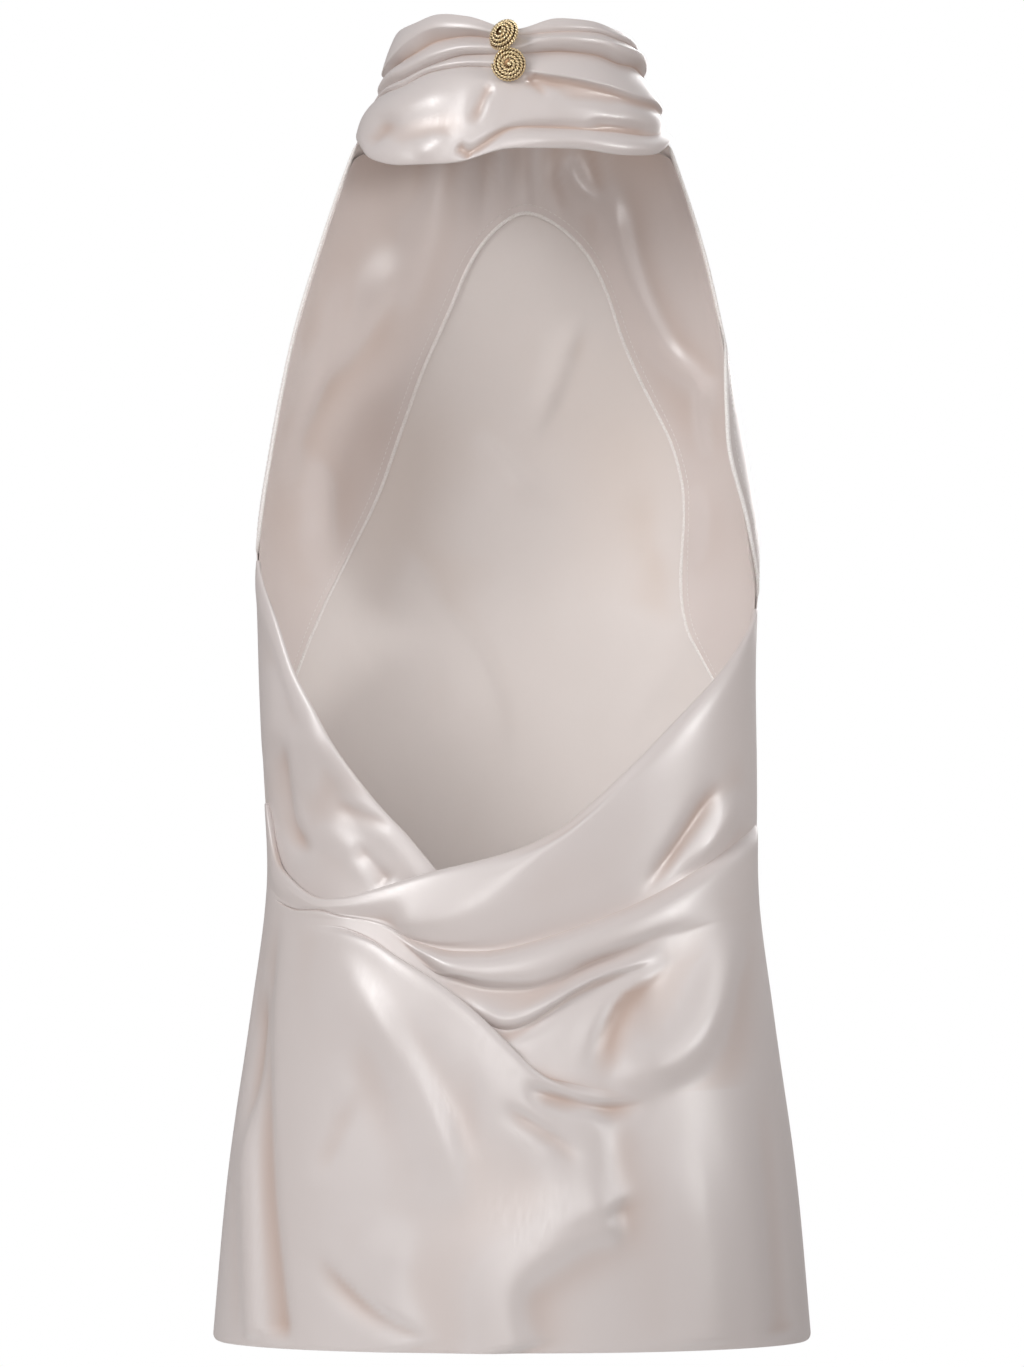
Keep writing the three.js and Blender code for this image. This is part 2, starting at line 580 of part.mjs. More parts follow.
// The under layer of the back: it crosses from the left side seam and ends inside the drape.
function makeUnderLayer() {
  const angles = UNDER_EDGES.map((row) => angleAt(row.across, row.top, true));
  const endAngle = angles[angles.length - 1];
  const topEdge = curveThrough(angles, UNDER_EDGES.map((row) => row.top));
  const lowEdge = curveThrough(angles, UNDER_EDGES.map((row) => row.low));
  const pointAt = (u, v) => {
    const degrees = lerp(LEFT + SEAM_DEGREES, endAngle, u);
    const z = lerp(topEdge(degrees), lowEdge(degrees), v);
    const inside = smooth((UNDER_INSIDE.from - z) / (UNDER_INSIDE.from - UNDER_INSIDE.to));
    const fromSeam = smooth(Math.sin(toRadians(degrees - LEFT)) * SEAM_REACH);
    const valley = fromSeam * softFold(UNDER_VALLEY, ring(degrees, z, 0));
    return ring(degrees, z, inside * UNDER_INSIDE.offset + valley);
  };
  return named("back_under_layer", wall(pointAt, STEPS.under.along, STEPS.under.down, CLOTH), SATIN);
}

// A domed shank button with three rings of rope round a middle bead, turned about its own axis.
function makeButton(name, place, facing, shank) {
  const profile = [
    [0, -shank], [1.7, -shank], [1.9, 0], [7.6, 0], [9.0, 0.7], [BUTTON_RADIUS, 2.0], [8.7, 3.3], [7.3, 3.5],
    [6.6, 4.7], [5.2, 5.2], [4.4, 4.8], [3.5, 5.9], [2.1, 5.9], [1.5, 5.5], [0.8, 6.4], [0, 6.6],
  ].map(([radius, height]) => new THREE.Vector2(radius, height));
  const mesh = named(name, new THREE.LatheGeometry(profile, STEPS.button), GOLD);
  mesh.quaternion.setFromUnitVectors(new THREE.Vector3(0, 1, 0), facing.clone().normalize());
  mesh.position.copy(place);
  return mesh;
}

const top = new THREE.Group();
top.add(makeFront(), makeFacing(), makeCollar(), makeUnderLayer(), makeBackDrape());
top.add(
  makeButton("button_upper", new THREE.Vector3(-3.9, -71.8, 21.2), new THREE.Vector3(-0.68, -1, 0.56), 6.7),
  makeButton("button_lower", new THREE.Vector3(-1.9, -71.7, 5.0), new THREE.Vector3(0.05, -1, -0.12), 3.1),
);

export default top;
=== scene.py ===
"""Satin halter neck top with an open back and a crossed cowl drape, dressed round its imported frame.

Every form is worked out in millimetres in the frame of the solids: +Z is up, +Y is the wearer's front
and the open back faces -Y. It turns into metres only where a mesh is made.
"""

import logging
import math
from dataclasses import dataclass
from enum import Enum

import bpy
import numpy as np
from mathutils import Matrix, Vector


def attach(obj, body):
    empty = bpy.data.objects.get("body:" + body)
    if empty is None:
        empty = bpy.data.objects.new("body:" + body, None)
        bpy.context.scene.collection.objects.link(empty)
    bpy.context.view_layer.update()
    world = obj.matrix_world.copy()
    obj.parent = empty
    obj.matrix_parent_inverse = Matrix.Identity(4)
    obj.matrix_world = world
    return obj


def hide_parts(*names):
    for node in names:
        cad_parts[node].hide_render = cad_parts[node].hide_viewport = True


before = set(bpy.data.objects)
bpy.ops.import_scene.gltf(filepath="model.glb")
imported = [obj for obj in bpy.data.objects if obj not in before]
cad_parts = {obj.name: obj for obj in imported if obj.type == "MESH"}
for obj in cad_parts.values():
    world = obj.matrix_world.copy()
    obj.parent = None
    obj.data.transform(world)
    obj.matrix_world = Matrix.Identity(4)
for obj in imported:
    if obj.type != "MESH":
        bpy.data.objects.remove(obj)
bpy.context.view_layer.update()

LOG = logging.getLogger("halter_top")
MM = 0.001
CLOTH = 0.5
FACING_INSET = 1.7
SEAM_DEGREES = 0.1
COLLAR_SEAM = 0.8
HEM_SIDE, HEM_FRONT, HEM_BACK = -726.0, -724.0, -721.5
HEM_CORNER, HEM_CORNER_REACH = 3.5, 0.16
SEAM_TURN_IN = -0.7
UP = (0.0, 0.0, 1.0)

Array = np.ndarray
Points = tuple[tuple[float, float], ...]


class Slot(Enum):
    """The top's material slots."""

    SATIN = "satin"
    FACING = "satin_facing"
    METAL = "button_metal"


# Level sections: height, where the middle lies, half the width, depth before and depth behind.
SECTIONS = (
    (40, 1.2, 67, 55, 61),
    (15, 1.2, 73, 58, 66),
    (-9, 0.8, 81.5, 60, 70),
    (-38, 0.2, 92.5, 64, 76),
    (-96, -0.3, 112, 76, 86),
    (-154, -2.4, 127, 96, 93),
    (-212, -2.6, 138, 110, 94),
    (-270, -2.3, 146, 111, 92),
    (-328, -3, 144, 101, 89),
    (-403, -1, 143, 94, 87),
    (-450, 0.3, 141.5, 95, 91),
    (-542, 0, 152, 106, 109),
    (-635, 0, 165, 113, 119),
    (-730, 0, 173.5, 116, 122),
)

# How far the front's armhole edges reach round behind the sides: height, left degrees, right degrees.
ARMHOLES = (
    (-31, 0.2, 0.2),
    (-96, 3, 0.5),
    (-145, 6, 1),
    (-165, 7, 14),
    (-190, 8, 21),
    (-214, 8, 24),
    (-250, 8, 19),
    (-266, 5, 16),
    (-274, 0, 13.5),
    (-286, 0, 7.5),
    (-299, 0, 0),
    (-320, 0, 0),
)

# Stations round the collar in degrees, then each fold line's height at them from its top edge down,
# how far it stands out left and right of the nape, and whether its fold is sharp.
COLLAR_STATIONS = (-90, -70, -52, -34, -18, 0, 90, 180, 198, 214, 232, 250)
COLLAR_ROWS = (
    ((25, 32.2, 31.6, 27.8, 26, 20.4, 18, 26.2, 29.5, 31.5, 35.4, 33), -0.8, -1.0, False),
    ((23.8, 28, 27.5, 24.2, 23, 17, 15, 16, 21, 25.5, 31, 29), 1.0, 1.0, False),
    ((22, 24.4, 25.3, 22.5, 20.1, 13.4, 12, 5.9, 13.2, 21.3, 27.6, 26.4), 0.6, -1.0, True),
    ((19, 21, 21, 17.5, 16, 10.5, 8.5, 3, 10.4, 14.5, 20.8, 22.5), -5.2, 3.0, True),
    ((14.5, 17.1, 16.2, 12.5, 12.6, 7.6, 5, -1.6, 3.5, 4.8, 11.7, 15.4), 1.6, 2.2, False),
    ((11.5, 13.4, 12.5, 8.4, 8.2, 4.2, 1.5, -6.9, -2.3, 0.3, 7.1, 11.7), -4.8, -3.4, True),
    ((7, 6, 3, -1, -2, -6, -2, -9.8, -4.6, -2, 4.8, 7.1), -0.6, 1.4, False),
    ((2, -2, -5.9, -10.5, -12.1, -16.1, -5, -12.7, -6.9, -5.4, 2, 4.6), -3.4, 3.0, True),
    ((-2, -5.4, -9.9, -14.5, -15.5, -18.5, -8, -15.6, -10.4, -8.8, -2, 1.4), 0.2, -1.4, False),
    ((-11.5, -14, -16, -19.5, -20, -21, -12, -19, -17, -18, -14, -11.5), 2.2, 1.0, False),
    ((-22, -23.5, -24, -26.5, -26, -24, -16, -23, -24, -28, -27, -24), 2.4, 0.0, False),
    ((-30.5, -31.5, -32.3, -33, -31, -27, -20, -27, -30, -36, -38, -36), 1.8, -2.2, True),
    ((-36.5, -36.5, -38, -38, -34.5, -29.3, -23.5, -29.3, -34, -42, -46, -45), 1.4, 3.8, False),
    ((-43, -43.1, -45.7, -44.3, -37.7, -31, -27, -31, -37, -46.8, -51.7, -51.7), 0.2, 0.8, False),
)

# The facing: its arched inner edge across and up, then its outer edge in degrees and its height there.
FACING_STATIONS = (
    (-140.5, -392, 180, -380),
    (-128, -341, 180, -330),
    (-115, -307, 180, -292),
    (-97, -272, 186, -262),
    (-77, -235, 187.5, -218),
    (-65, -197, 187, -178),
    (-54, -162, 185.5, -136),
    (-39, -129, 183, -94),
    (-25, -97, 180, -48),
    (-9, -77, 140, -34),
    (8, -68, 90, -30),
    (26, -75, 40, -34),
    (46, -94, 0, -48),
    (58, -118, -0.4, -94),
    (66, -143, -0.8, -136),
    (81, -178, -17, -176),
    (95, -209, -23.3, -214),
    (101.5, -239, -19.5, -246),
    (100, -277, -16, -276),
    (101.5, -304, -0.5, -305),
    (118, -342, 0, -345),
    (140.5, -395, 0, -384),
)

# The under layer: across, the height of its crossing edge and of its hidden lower edge.
UNDER_EDGES = (
    (-147.5, -276, -440),
    (-141.7, -296, -452),
    (-136, -310, -462),
    (-124, -342.7, -474),
    (-114, -361, -480),
    (-103.6, -379.7, -484),
    (-91, -399, -486),
    (-77, -416.4, -487),
    (-61, -432.7, -488),
    (-44, -452.4, -489),
    (-32, -464.6, -490),
)

# Lines on the back drape, across and up.
DRAPE_LINES = {
    "edge": (
        (-141.5, -416), (-138.8, -431.4), (-134.4, -449), (-124.6, -460.4), (-113.9, -467.4),
        (-106.9, -469.5), (-92.4, -468.1), (-78.7, -463.9), (-64.5, -459.2), (-44.1, -452.9),
        (-18.1, -446.7), (4.5, -439.9), (27.1, -428.6), (49.8, -410.1), (72.5, -388.7), (95.5, -365.5),
        (115.8, -345), (133.6, -322.1), (142, -303.5),
    ),
    "band": (
        (-106.8, -474), (-88, -480), (-68.9, -482.9), (-52.5, -481), (-32.7, -474.7), (-12.4, -464.6),
        (23.7, -434.8), (80.5, -396), (107, -370), (133.6, -336), (141.2, -322),
    ),
    "cowl": (
        (-103.4, -476), (-91.8, -482), (-75.2, -486.9), (-62.6, -491.2), (-48.5, -496.6),
        (-32.7, -499.9), (-16.3, -499.8), (3.9, -496.5), (23.7, -490.9), (47.9, -482.7), (68.4, -475),
        (89, -465.2), (109.3, -453.7), (130.7, -440.1), (140.9, -430.4),
    ),
    "second": (
        (-32.1, -512.7), (-22.5, -516.6), (-12.4, -518.8), (7.9, -518.8), (23.6, -514.3), (36, -508.8),
        (51.8, -501.7), (96.9, -487.3), (141.1, -474.6),
    ),
    "third": (
        (-16.3, -537.1), (-4.5, -541.5), (7.9, -538.2), (19.7, -530.5), (32.1, -522), (47.9, -514),
        (68.3, -508), (98.6, -500), (141, -492),
    ),
}

# Rows of the drape above the tuck: a line, the next line and the share of the way to it, a drop, then how
# far the row stands out at the left, in the middle and at the right, and whether its fold is sharp.
DRAPE_ROWS = (
    ("edge", "edge", 0, 0.2, -0.2, -1.0, -0.4, False),
    ("edge", "edge", 0, 1.4, 1.0, 1.0, 1.0, False),
    ("edge", "edge", 0, 4, 1.8, 2.6, 2.0, False),
    ("edge", "band", 0.5, 0, 2.4, 4.2, 2.8, False),
    ("band", "band", 0, 0, 2.2, 5.0, 3.2, False),
    ("band", "cowl", 0.25, 0, 0.8, 3.4, 2.4, False),
    ("band", "cowl", 0.5, 0, -0.6, 0.6, 0.6, False),
    ("band", "cowl", 0.75, 0, -2.2, -2.6, -1.4, False),
    ("cowl", "cowl", 0, -5, -3.2, -5.8, -3.6, False),
    ("cowl", "cowl", 0, -1.5, -2.8, -6.4, -3.8, True),
    ("cowl", "cowl", 0, 0.6, 1.0, -0.2, 0.8, False),
    ("cowl", "cowl", 0, 2.8, 3.4, 5.6, 4.0, False),
    ("cowl", "cowl", 0, 7, 3.2, 7.2, 4.6, False),
    ("cowl", "second", 0.55, 3, 2.0, 5.6, 3.6, False),
    ("second", "second", 0, -3.5, 0.8, 3.0, 2.6, False),
    ("second", "second", 0, -0.8, -1.0, -1.6, 1.8, True),
    ("second", "second", 0, 1.6, -1.8, -3.4, 1.2, False),
    ("second", "third", 0.35, 2, -0.2, 0.0, 0.8, False),
    ("second", "third", 0.7, 0, 0.8, 2.8, 0.6, False),
    ("third", "third", 0, -1.5, 0.2, 1.2, 0.4, False),
    ("third", "third", 0, 0.8, -1.4, -3.0, 0.3, True),
    ("third", "third", 0, 3.5, -1.6, -3.4, 0.2, False),
    ("third", "third", 0, 9, 0.6, 0.8, 0.0, False),
)
# Rows of the edge's turned-in cloth, behind the drape's upper edge: how far below the edge and how far out.
TURNED_EDGE = ((13.0, -2.6), (7.0, -2.9), (2.4, -2.8), (0.3, -2.0))

# The tuck: across, height, how deep the lower cloth laps over the folds, and how far it stands out.
TUCK = (
    (-151, -486, 0, 0),
    (-116, -487, 0, 0),
    (-100, -487, 0.5, 1.8),
    (-77, -492, 4, 4.5),
    (-66.6, -498.5, 6, 5.5),
    (-48.4, -509.5, 8.5, 6.5),
    (-32.6, -520.5, 9.5, 7),
    (-22.5, -528.5, 9.5, 7),
    (-4.5, -546, 8, 6.5),
    (17.4, -567, 3.5, 5),
    (30, -572, 0.5, 2.5),
    (60, -578, 0, 0),
    (157, -580, 0, 0),
)
# The sheet's way through the tuck: a step down, a share of the lap and a share of the height.
TUCK_PATH = (
    (0.0, 1.0, 0.0),
    (1.0, 1.12, 0.2),
    (2.0, 0.6, 0.48),
    (3.0, 0.1, 0.68),
    (3.8, -0.12, 0.88),
    (5.0, -0.08, 1.06),
    (7.4, 0.2, 1.14),
    (11.0, 0.7, 1.08),
)


def smooth(share: Array) -> Array:
    """Ease from nought to one: three times the square less twice the cube, held at both ends.

    Args:
        share: how far along, nought to one inside the step.

    Returns:
        The eased share.
    """
    s = np.clip(share, 0.0, 1.0)
    return s * s * (3 - 2 * s)


def mix(a: Array, b: Array, share: Array) -> Array:
    """Go from a to b by a share: a plus the share of their difference.

    Args:
        a: the value at nought.
        b: the value at one.
        share: the share of the way.

    Returns:
        The value between.
    """
    return a + (b - a) * share


def unit(vectors: Array) -> Array:
    """Scale vectors on the last axis to length one.

    Args:
        vectors: any vectors.

    Returns:
        The same directions with length one.
    """
    return vectors / np.maximum(np.linalg.norm(vectors, axis=-1, keepdims=True), 1e-9)


def evened(values: Array, sigma: float) -> Array:
    """Even out the last axis with a Gaussian; the ends keep their values by odd reflection.

    Args:
        values: samples on the last axis.
        sigma: the Gaussian's width in samples.

    Returns:
        The evened samples.
    """
    if sigma <= 0:
        return values
    reach = min(int(4 * sigma) + 1, values.shape[-1] - 1)
    kernel = np.exp(-0.5 * (np.arange(-reach, reach + 1) / sigma) ** 2)
    kernel /= kernel.sum()
    first, last = values[..., :1], values[..., -1:]
    before = 2 * first - values[..., reach:0:-1]
    after = 2 * last - values[..., -2 : -reach - 2 : -1]
    padded = np.concatenate([before, values, after], axis=-1)
    return np.apply_along_axis(np.convolve, -1, padded, kernel, "valid")


class Curve:
    """A smooth curve through points: cubic pieces that never overshoot, then evened."""

    SAMPLES = 4000

    def __init__(self, at: Array, value: Array, even: float = 0.0) -> None:
        """Sample the curve finely once; a call reads between the samples.

        Args:
            at: where the points are, in any order.
            value: what the curve is at them.
            even: the width of the evening Gaussian, in the units of at.
        """
        order = np.argsort(at)
        x = np.asarray(at, float)[order]
        y = np.asarray(value, float)[order]
        slope = np.diff(y) / np.diff(x)
        total = slope[1:] + slope[:-1]
        product = slope[1:] * slope[:-1]
        inner = np.where(product > 0, 2 * product / np.where(total == 0, 1, total), 0.0)
        tangent = np.concatenate([slope[:1], inner, slope[-1:]])
        self.x = np.linspace(x[0], x[-1], self.SAMPLES)
        i = np.clip(np.searchsorted(x, self.x, side="right") - 1, 0, len(x) - 2)
        width = x[i + 1] - x[i]
        t = (self.x - x[i]) / width
        rise = (3 - 2 * t) * t * t
        bend = width * t * (1 - t)
        raw = y[i] + (y[i + 1] - y[i]) * rise + bend * (tangent[i] * (1 - t) - tangent[i + 1] * t)
        self.y = evened(raw, even / (self.x[1] - self.x[0]))

    def __call__(self, at: Array) -> Array:
        """Read the curve.

        Args:
            at: where to read it.

        Returns:
            Its values there, held beyond its ends.
        """
        return np.interp(at, self.x, self.y)


class Body:
    """The level sections that every piece of cloth is laid on."""

    POWER = 1.1
    SOFT = 0.01

    def __init__(self) -> None:
        """Make the smooth curves of the section's middle, half width and depths."""
        z, middle, side, front, back = np.array(SECTIONS, float).T
        self.middle = Curve(z, middle, 12)
        self.side = Curve(z, side, 12)
        self.front = Curve(z, front, 12)
        self.back = Curve(z, back, 12)
        self.turns = np.linspace(0, 180, 4001)
        self.shares = self._reach(self.turns) * np.cos(np.radians(self.turns))

    def _reach(self, degrees: Array) -> Array:
        """How far the section goes at an angle, as a share of its half width.

        The sum of the cosine's and the sine's squares, each raised to the section's power, is turned into a
        radius; a small amount is added to both squares so that the section has no flat spot.

        Args:
            degrees: the angle round the section.

        Returns:
            The radius, one at the four ends.
        """
        across = np.cos(np.radians(degrees)) ** 2 + self.SOFT
        deep = np.sin(np.radians(degrees)) ** 2 + self.SOFT
        full = (1 + self.SOFT) ** self.POWER + self.SOFT**self.POWER
        return ((across**self.POWER + deep**self.POWER) / full) ** (-0.5 / self.POWER)

    def point(self, degrees: Array, z: Array, out: Array = 0.0) -> Array:
        """A point of the section at a height, moved out along the section's normal.

        Args:
            degrees: the angle from the right side through the front.
            z: the height.
            out: how far out from the section.

        Returns:
            The points, with x, y and z on the last axis.
        """
        reach = self._reach(degrees)
        across, deep = np.cos(np.radians(degrees)), np.sin(np.radians(degrees))
        side = self.side(z)
        depth = np.where(deep >= 0, self.front(z), self.back(z))
        x, y = side * reach * across, depth * reach * deep
        long = np.hypot(x / side**2, y / depth**2)
        x = self.middle(z) + x + out * x / side**2 / long
        y = y + out * y / depth**2 / long
        return np.stack(np.broadcast_arrays(x, y, z), axis=-1)

    def angle(self, across: Array, z: Array, on_back: bool) -> Array:
        """The angle round the section of a point that lies across at a height.

        Args:
            across: x of the point.
            z: its height.
            on_back: whether it lies behind.

        Returns:
            The angle in degrees.
        """
        share = (np.asarray(across, float) - self.middle(z)) / self.side(z)
        turned = np.interp(np.clip(share, -1, 1), self.shares[::-1], self.turns[::-1])
        return 360 - turned if on_back else turned

    def from_solid(self, degrees: Array) -> Array:
        """Turn an angle as the solids count it into this section's own angle.

        Args:
            degrees: the solids' angle, whose cosine and sine are raised to the section's power.

        Returns:
            The same place as an angle here, in the same turn.
        """
        degrees = np.asarray(degrees, float)
        c, s = np.cos(np.radians(degrees)), np.sin(np.radians(degrees))
        power = 1 / self.POWER
        warped = np.arctan2(np.sign(s) * np.abs(s) ** power, np.sign(c) * np.abs(c) ** power)
        return degrees + np.degrees(warped - np.arctan2(s, c))

    def line(self, points: Points, even: float = 1.2) -> Curve:
        """The height of a line on the back as a function of the angle.

        Args:
            points: its points across and up.
            even: how many degrees it is evened over.

        Returns:
            The curve from degrees to height.
        """
        across, z = np.array(points, float).T
        return Curve(self.angle(across, z, True), z, even)

    def hem(self, degrees: Array) -> Array:
        """The height of the hem at an angle, by the sine between the side and the front or back.

        The side seams draw it up a little, so that its corners look rounded.

        Args:
            degrees: the angle round the section.

        Returns:
            The height.
        """
        deep = np.sin(np.radians(degrees))
        drawn_up = HEM_CORNER * np.exp(-((deep / HEM_CORNER_REACH) ** 2))
        return mix(HEM_SIDE, np.where(deep > 0, HEM_FRONT, HEM_BACK), np.abs(deep)) + drawn_up


@dataclass(frozen=True)
class Fold:
    """A soft ridge, or a trough where the height is below nought, laid along a line on the cloth.

    Its section is a Gaussian, with one half width on the left of the line's way and one on the right.
    """

    line: Points
    height: float
    half: float
    other: float = 0.0
    starts: float = 0.3
    ends: float = 0.3

    STEPS = 48

    def relief(self, x: Array, z: Array) -> Array:
        """How far the fold moves the cloth out.

        Args:
            x: across.
            z: up.

        Returns:
            The height of the fold there.
        """
        points = np.array(self.line, float)
        steps = np.hypot(*np.diff(points, axis=0).T)
        along = np.concatenate([[0], np.cumsum(steps)]) / steps.sum()
        t = np.linspace(0, 1, self.STEPS)
        lx, lz = Curve(along, points[:, 0], 0.04)(t), Curve(along, points[:, 1], 0.04)(t)
        nearest = np.full(x.shape, 1e9)
        share = np.zeros(x.shape)
        beside = np.zeros(x.shape)
        for k in range(self.STEPS - 1):
            dx, dz = lx[k + 1] - lx[k], lz[k + 1] - lz[k]
            s = np.clip(((x - lx[k]) * dx + (z - lz[k]) * dz) / (dx * dx + dz * dz), 0, 1)
            gap = np.hypot(x - lx[k] - s * dx, z - lz[k] - s * dz)
            closer = gap < nearest
            nearest = np.where(closer, gap, nearest)
            share = np.where(closer, (k + s) / (self.STEPS - 1), share)
            beside = np.where(closer, dx * (z - lz[k]) - dz * (x - lx[k]), beside)
        half = np.where(beside >= 0, self.half, self.other or self.half)
        fade = smooth(share / max(self.starts, 1e-3)) * smooth((1 - share) / max(self.ends, 1e-3))
        return self.height * fade * np.exp(-((nearest / half) ** 2))


def laid(folds: tuple[Fold, ...], x: Array, z: Array) -> Array:
    """The sum of several folds.

    Args:
        folds: the folds.
        x: across.
        z: up.

    Returns:
        Their summed height.
    """
    return sum((fold.relief(x, z) for fold in folds), np.zeros(np.broadcast(x, z).shape))


def creased(
    seed: int, count: int, box: Points, lean: Points, height: float, half: Points
) -> tuple[Fold, ...]:
    """Faint uneven folds that cloth of this kind always has, drawn from a seeded generator.

    Args:
        seed: the generator's seed.
        count: how many folds.
        box: the lowest and the highest point across and up where they start.
        lean: the least and the most that a fold runs across and up.
        height: the most that one stands out or in.
        half: the least and the most half width, on the one side and on the other.

    Returns:
        The folds.
    """
    draw = np.random.default_rng(seed)
    start = draw.uniform(*np.array(box, float), (count, 2))
    run = draw.uniform(*np.array(lean, float), (count, 2))
    sag = draw.normal(0, 0.08, (count, 2)) * np.linalg.norm(run, axis=1, keepdims=True)
    high = draw.uniform(0.35, 1.0, count) * height * draw.choice([-1, 1], count)
    wide = draw.uniform(*np.array(half, float), (count, 2))
    return tuple(
        Fold(
            (tuple(a), tuple(a + r / 2 + s), tuple(a + r)), float(h), float(w[0]), float(w[1]), 0.45, 0.45
        )
        for a, r, s, h, w in zip(start, run, sag, high, wide)
    )


def spline(control: Array, steps: Array) -> Array:
    """Pass a uniform cubic B-spline down the first axis; its ends are met by reflecting a row.

    Args:
        control: the control rows.
        steps: how many steps each span between two rows is cut into.

    Returns:
        The fine rows.
    """
    rows = np.concatenate([2 * control[:1] - control[1:2], control, 2 * control[-1:] - control[-2:-1]])
    t = np.concatenate([k + np.arange(n) / n for k, n in enumerate(steps)] + [[len(control) - 1]])
    i = np.minimum(t.astype(int), len(control) - 2)
    f = (t - i).reshape(-1, *[1] * (control.ndim - 1))
    return (
        (1 - f) ** 3 * rows[i]
        + (3 * f**3 - 6 * f**2 + 4) * rows[i + 1]
        + (-3 * f**3 + 3 * f**2 + 3 * f + 1) * rows[i + 2]
        + f**3 * rows[i + 3]
    ) / 6


def mesh_object(
    name: str, points: Array, faces: list[list[int]], materials: list, shown: Array | None = None
) -> bpy.types.Object:
    """Put points and faces into a new object at the origin, in metres and shaded smooth.

    Args:
        name: the piece's name.
        points: the points in millimetres.
        faces: the corners of each face.
        materials: the piece's materials.
        shown: which material each face has; the first, if it isn't given.

    Returns:
        The object.
    """
    mesh = bpy.data.meshes.new(name)
    mesh.from_pydata((points * MM).tolist(), [], faces)
    for material in materials:
        mesh.materials.append(material)
    if shown is not None:
        mesh.polygons.foreach_set("material_index", np.asarray(shown, np.int32))
    mesh.polygons.foreach_set("use_smooth", np.ones(len(faces), bool))
    mesh.update()
    piece = bpy.data.objects.new(name, mesh)
    bpy.context.scene.collection.objects.link(piece)
    return piece


def grid_faces(rows: int, columns: int, ring: bool, start: int = 0) -> Array:
    """The four corners of every cell of a grid of points.

    Args:
        rows: rows of points.
        columns: points in a row.
        ring: whether the last column joins the first.
        start: the index of the grid's first point.

    Returns:
        One row of four indices for each cell.
    """
    across = np.arange(columns if ring else columns - 1)
    j, i = np.meshgrid(np.arange(rows - 1), across, indexing="ij")
    k = (i + 1) % columns
    corners = [j * columns + i, j * columns + k, (j + 1) * columns + k, (j + 1) * columns + i]
    return start + np.stack(corners, axis=-1).reshape(-1, 4)


def shares(rows: int, columns: int) -> tuple[Array, Array]:
    """The shares of the way down and across at every point of a grid.

    Args:
        rows: rows of points.
        columns: points in a row.

    Returns:
        The shares down and the shares across.
    """
    down, across = np.meshgrid(np.linspace(0, 1, rows), np.linspace(0, 1, columns), indexing="ij")
    return down, across


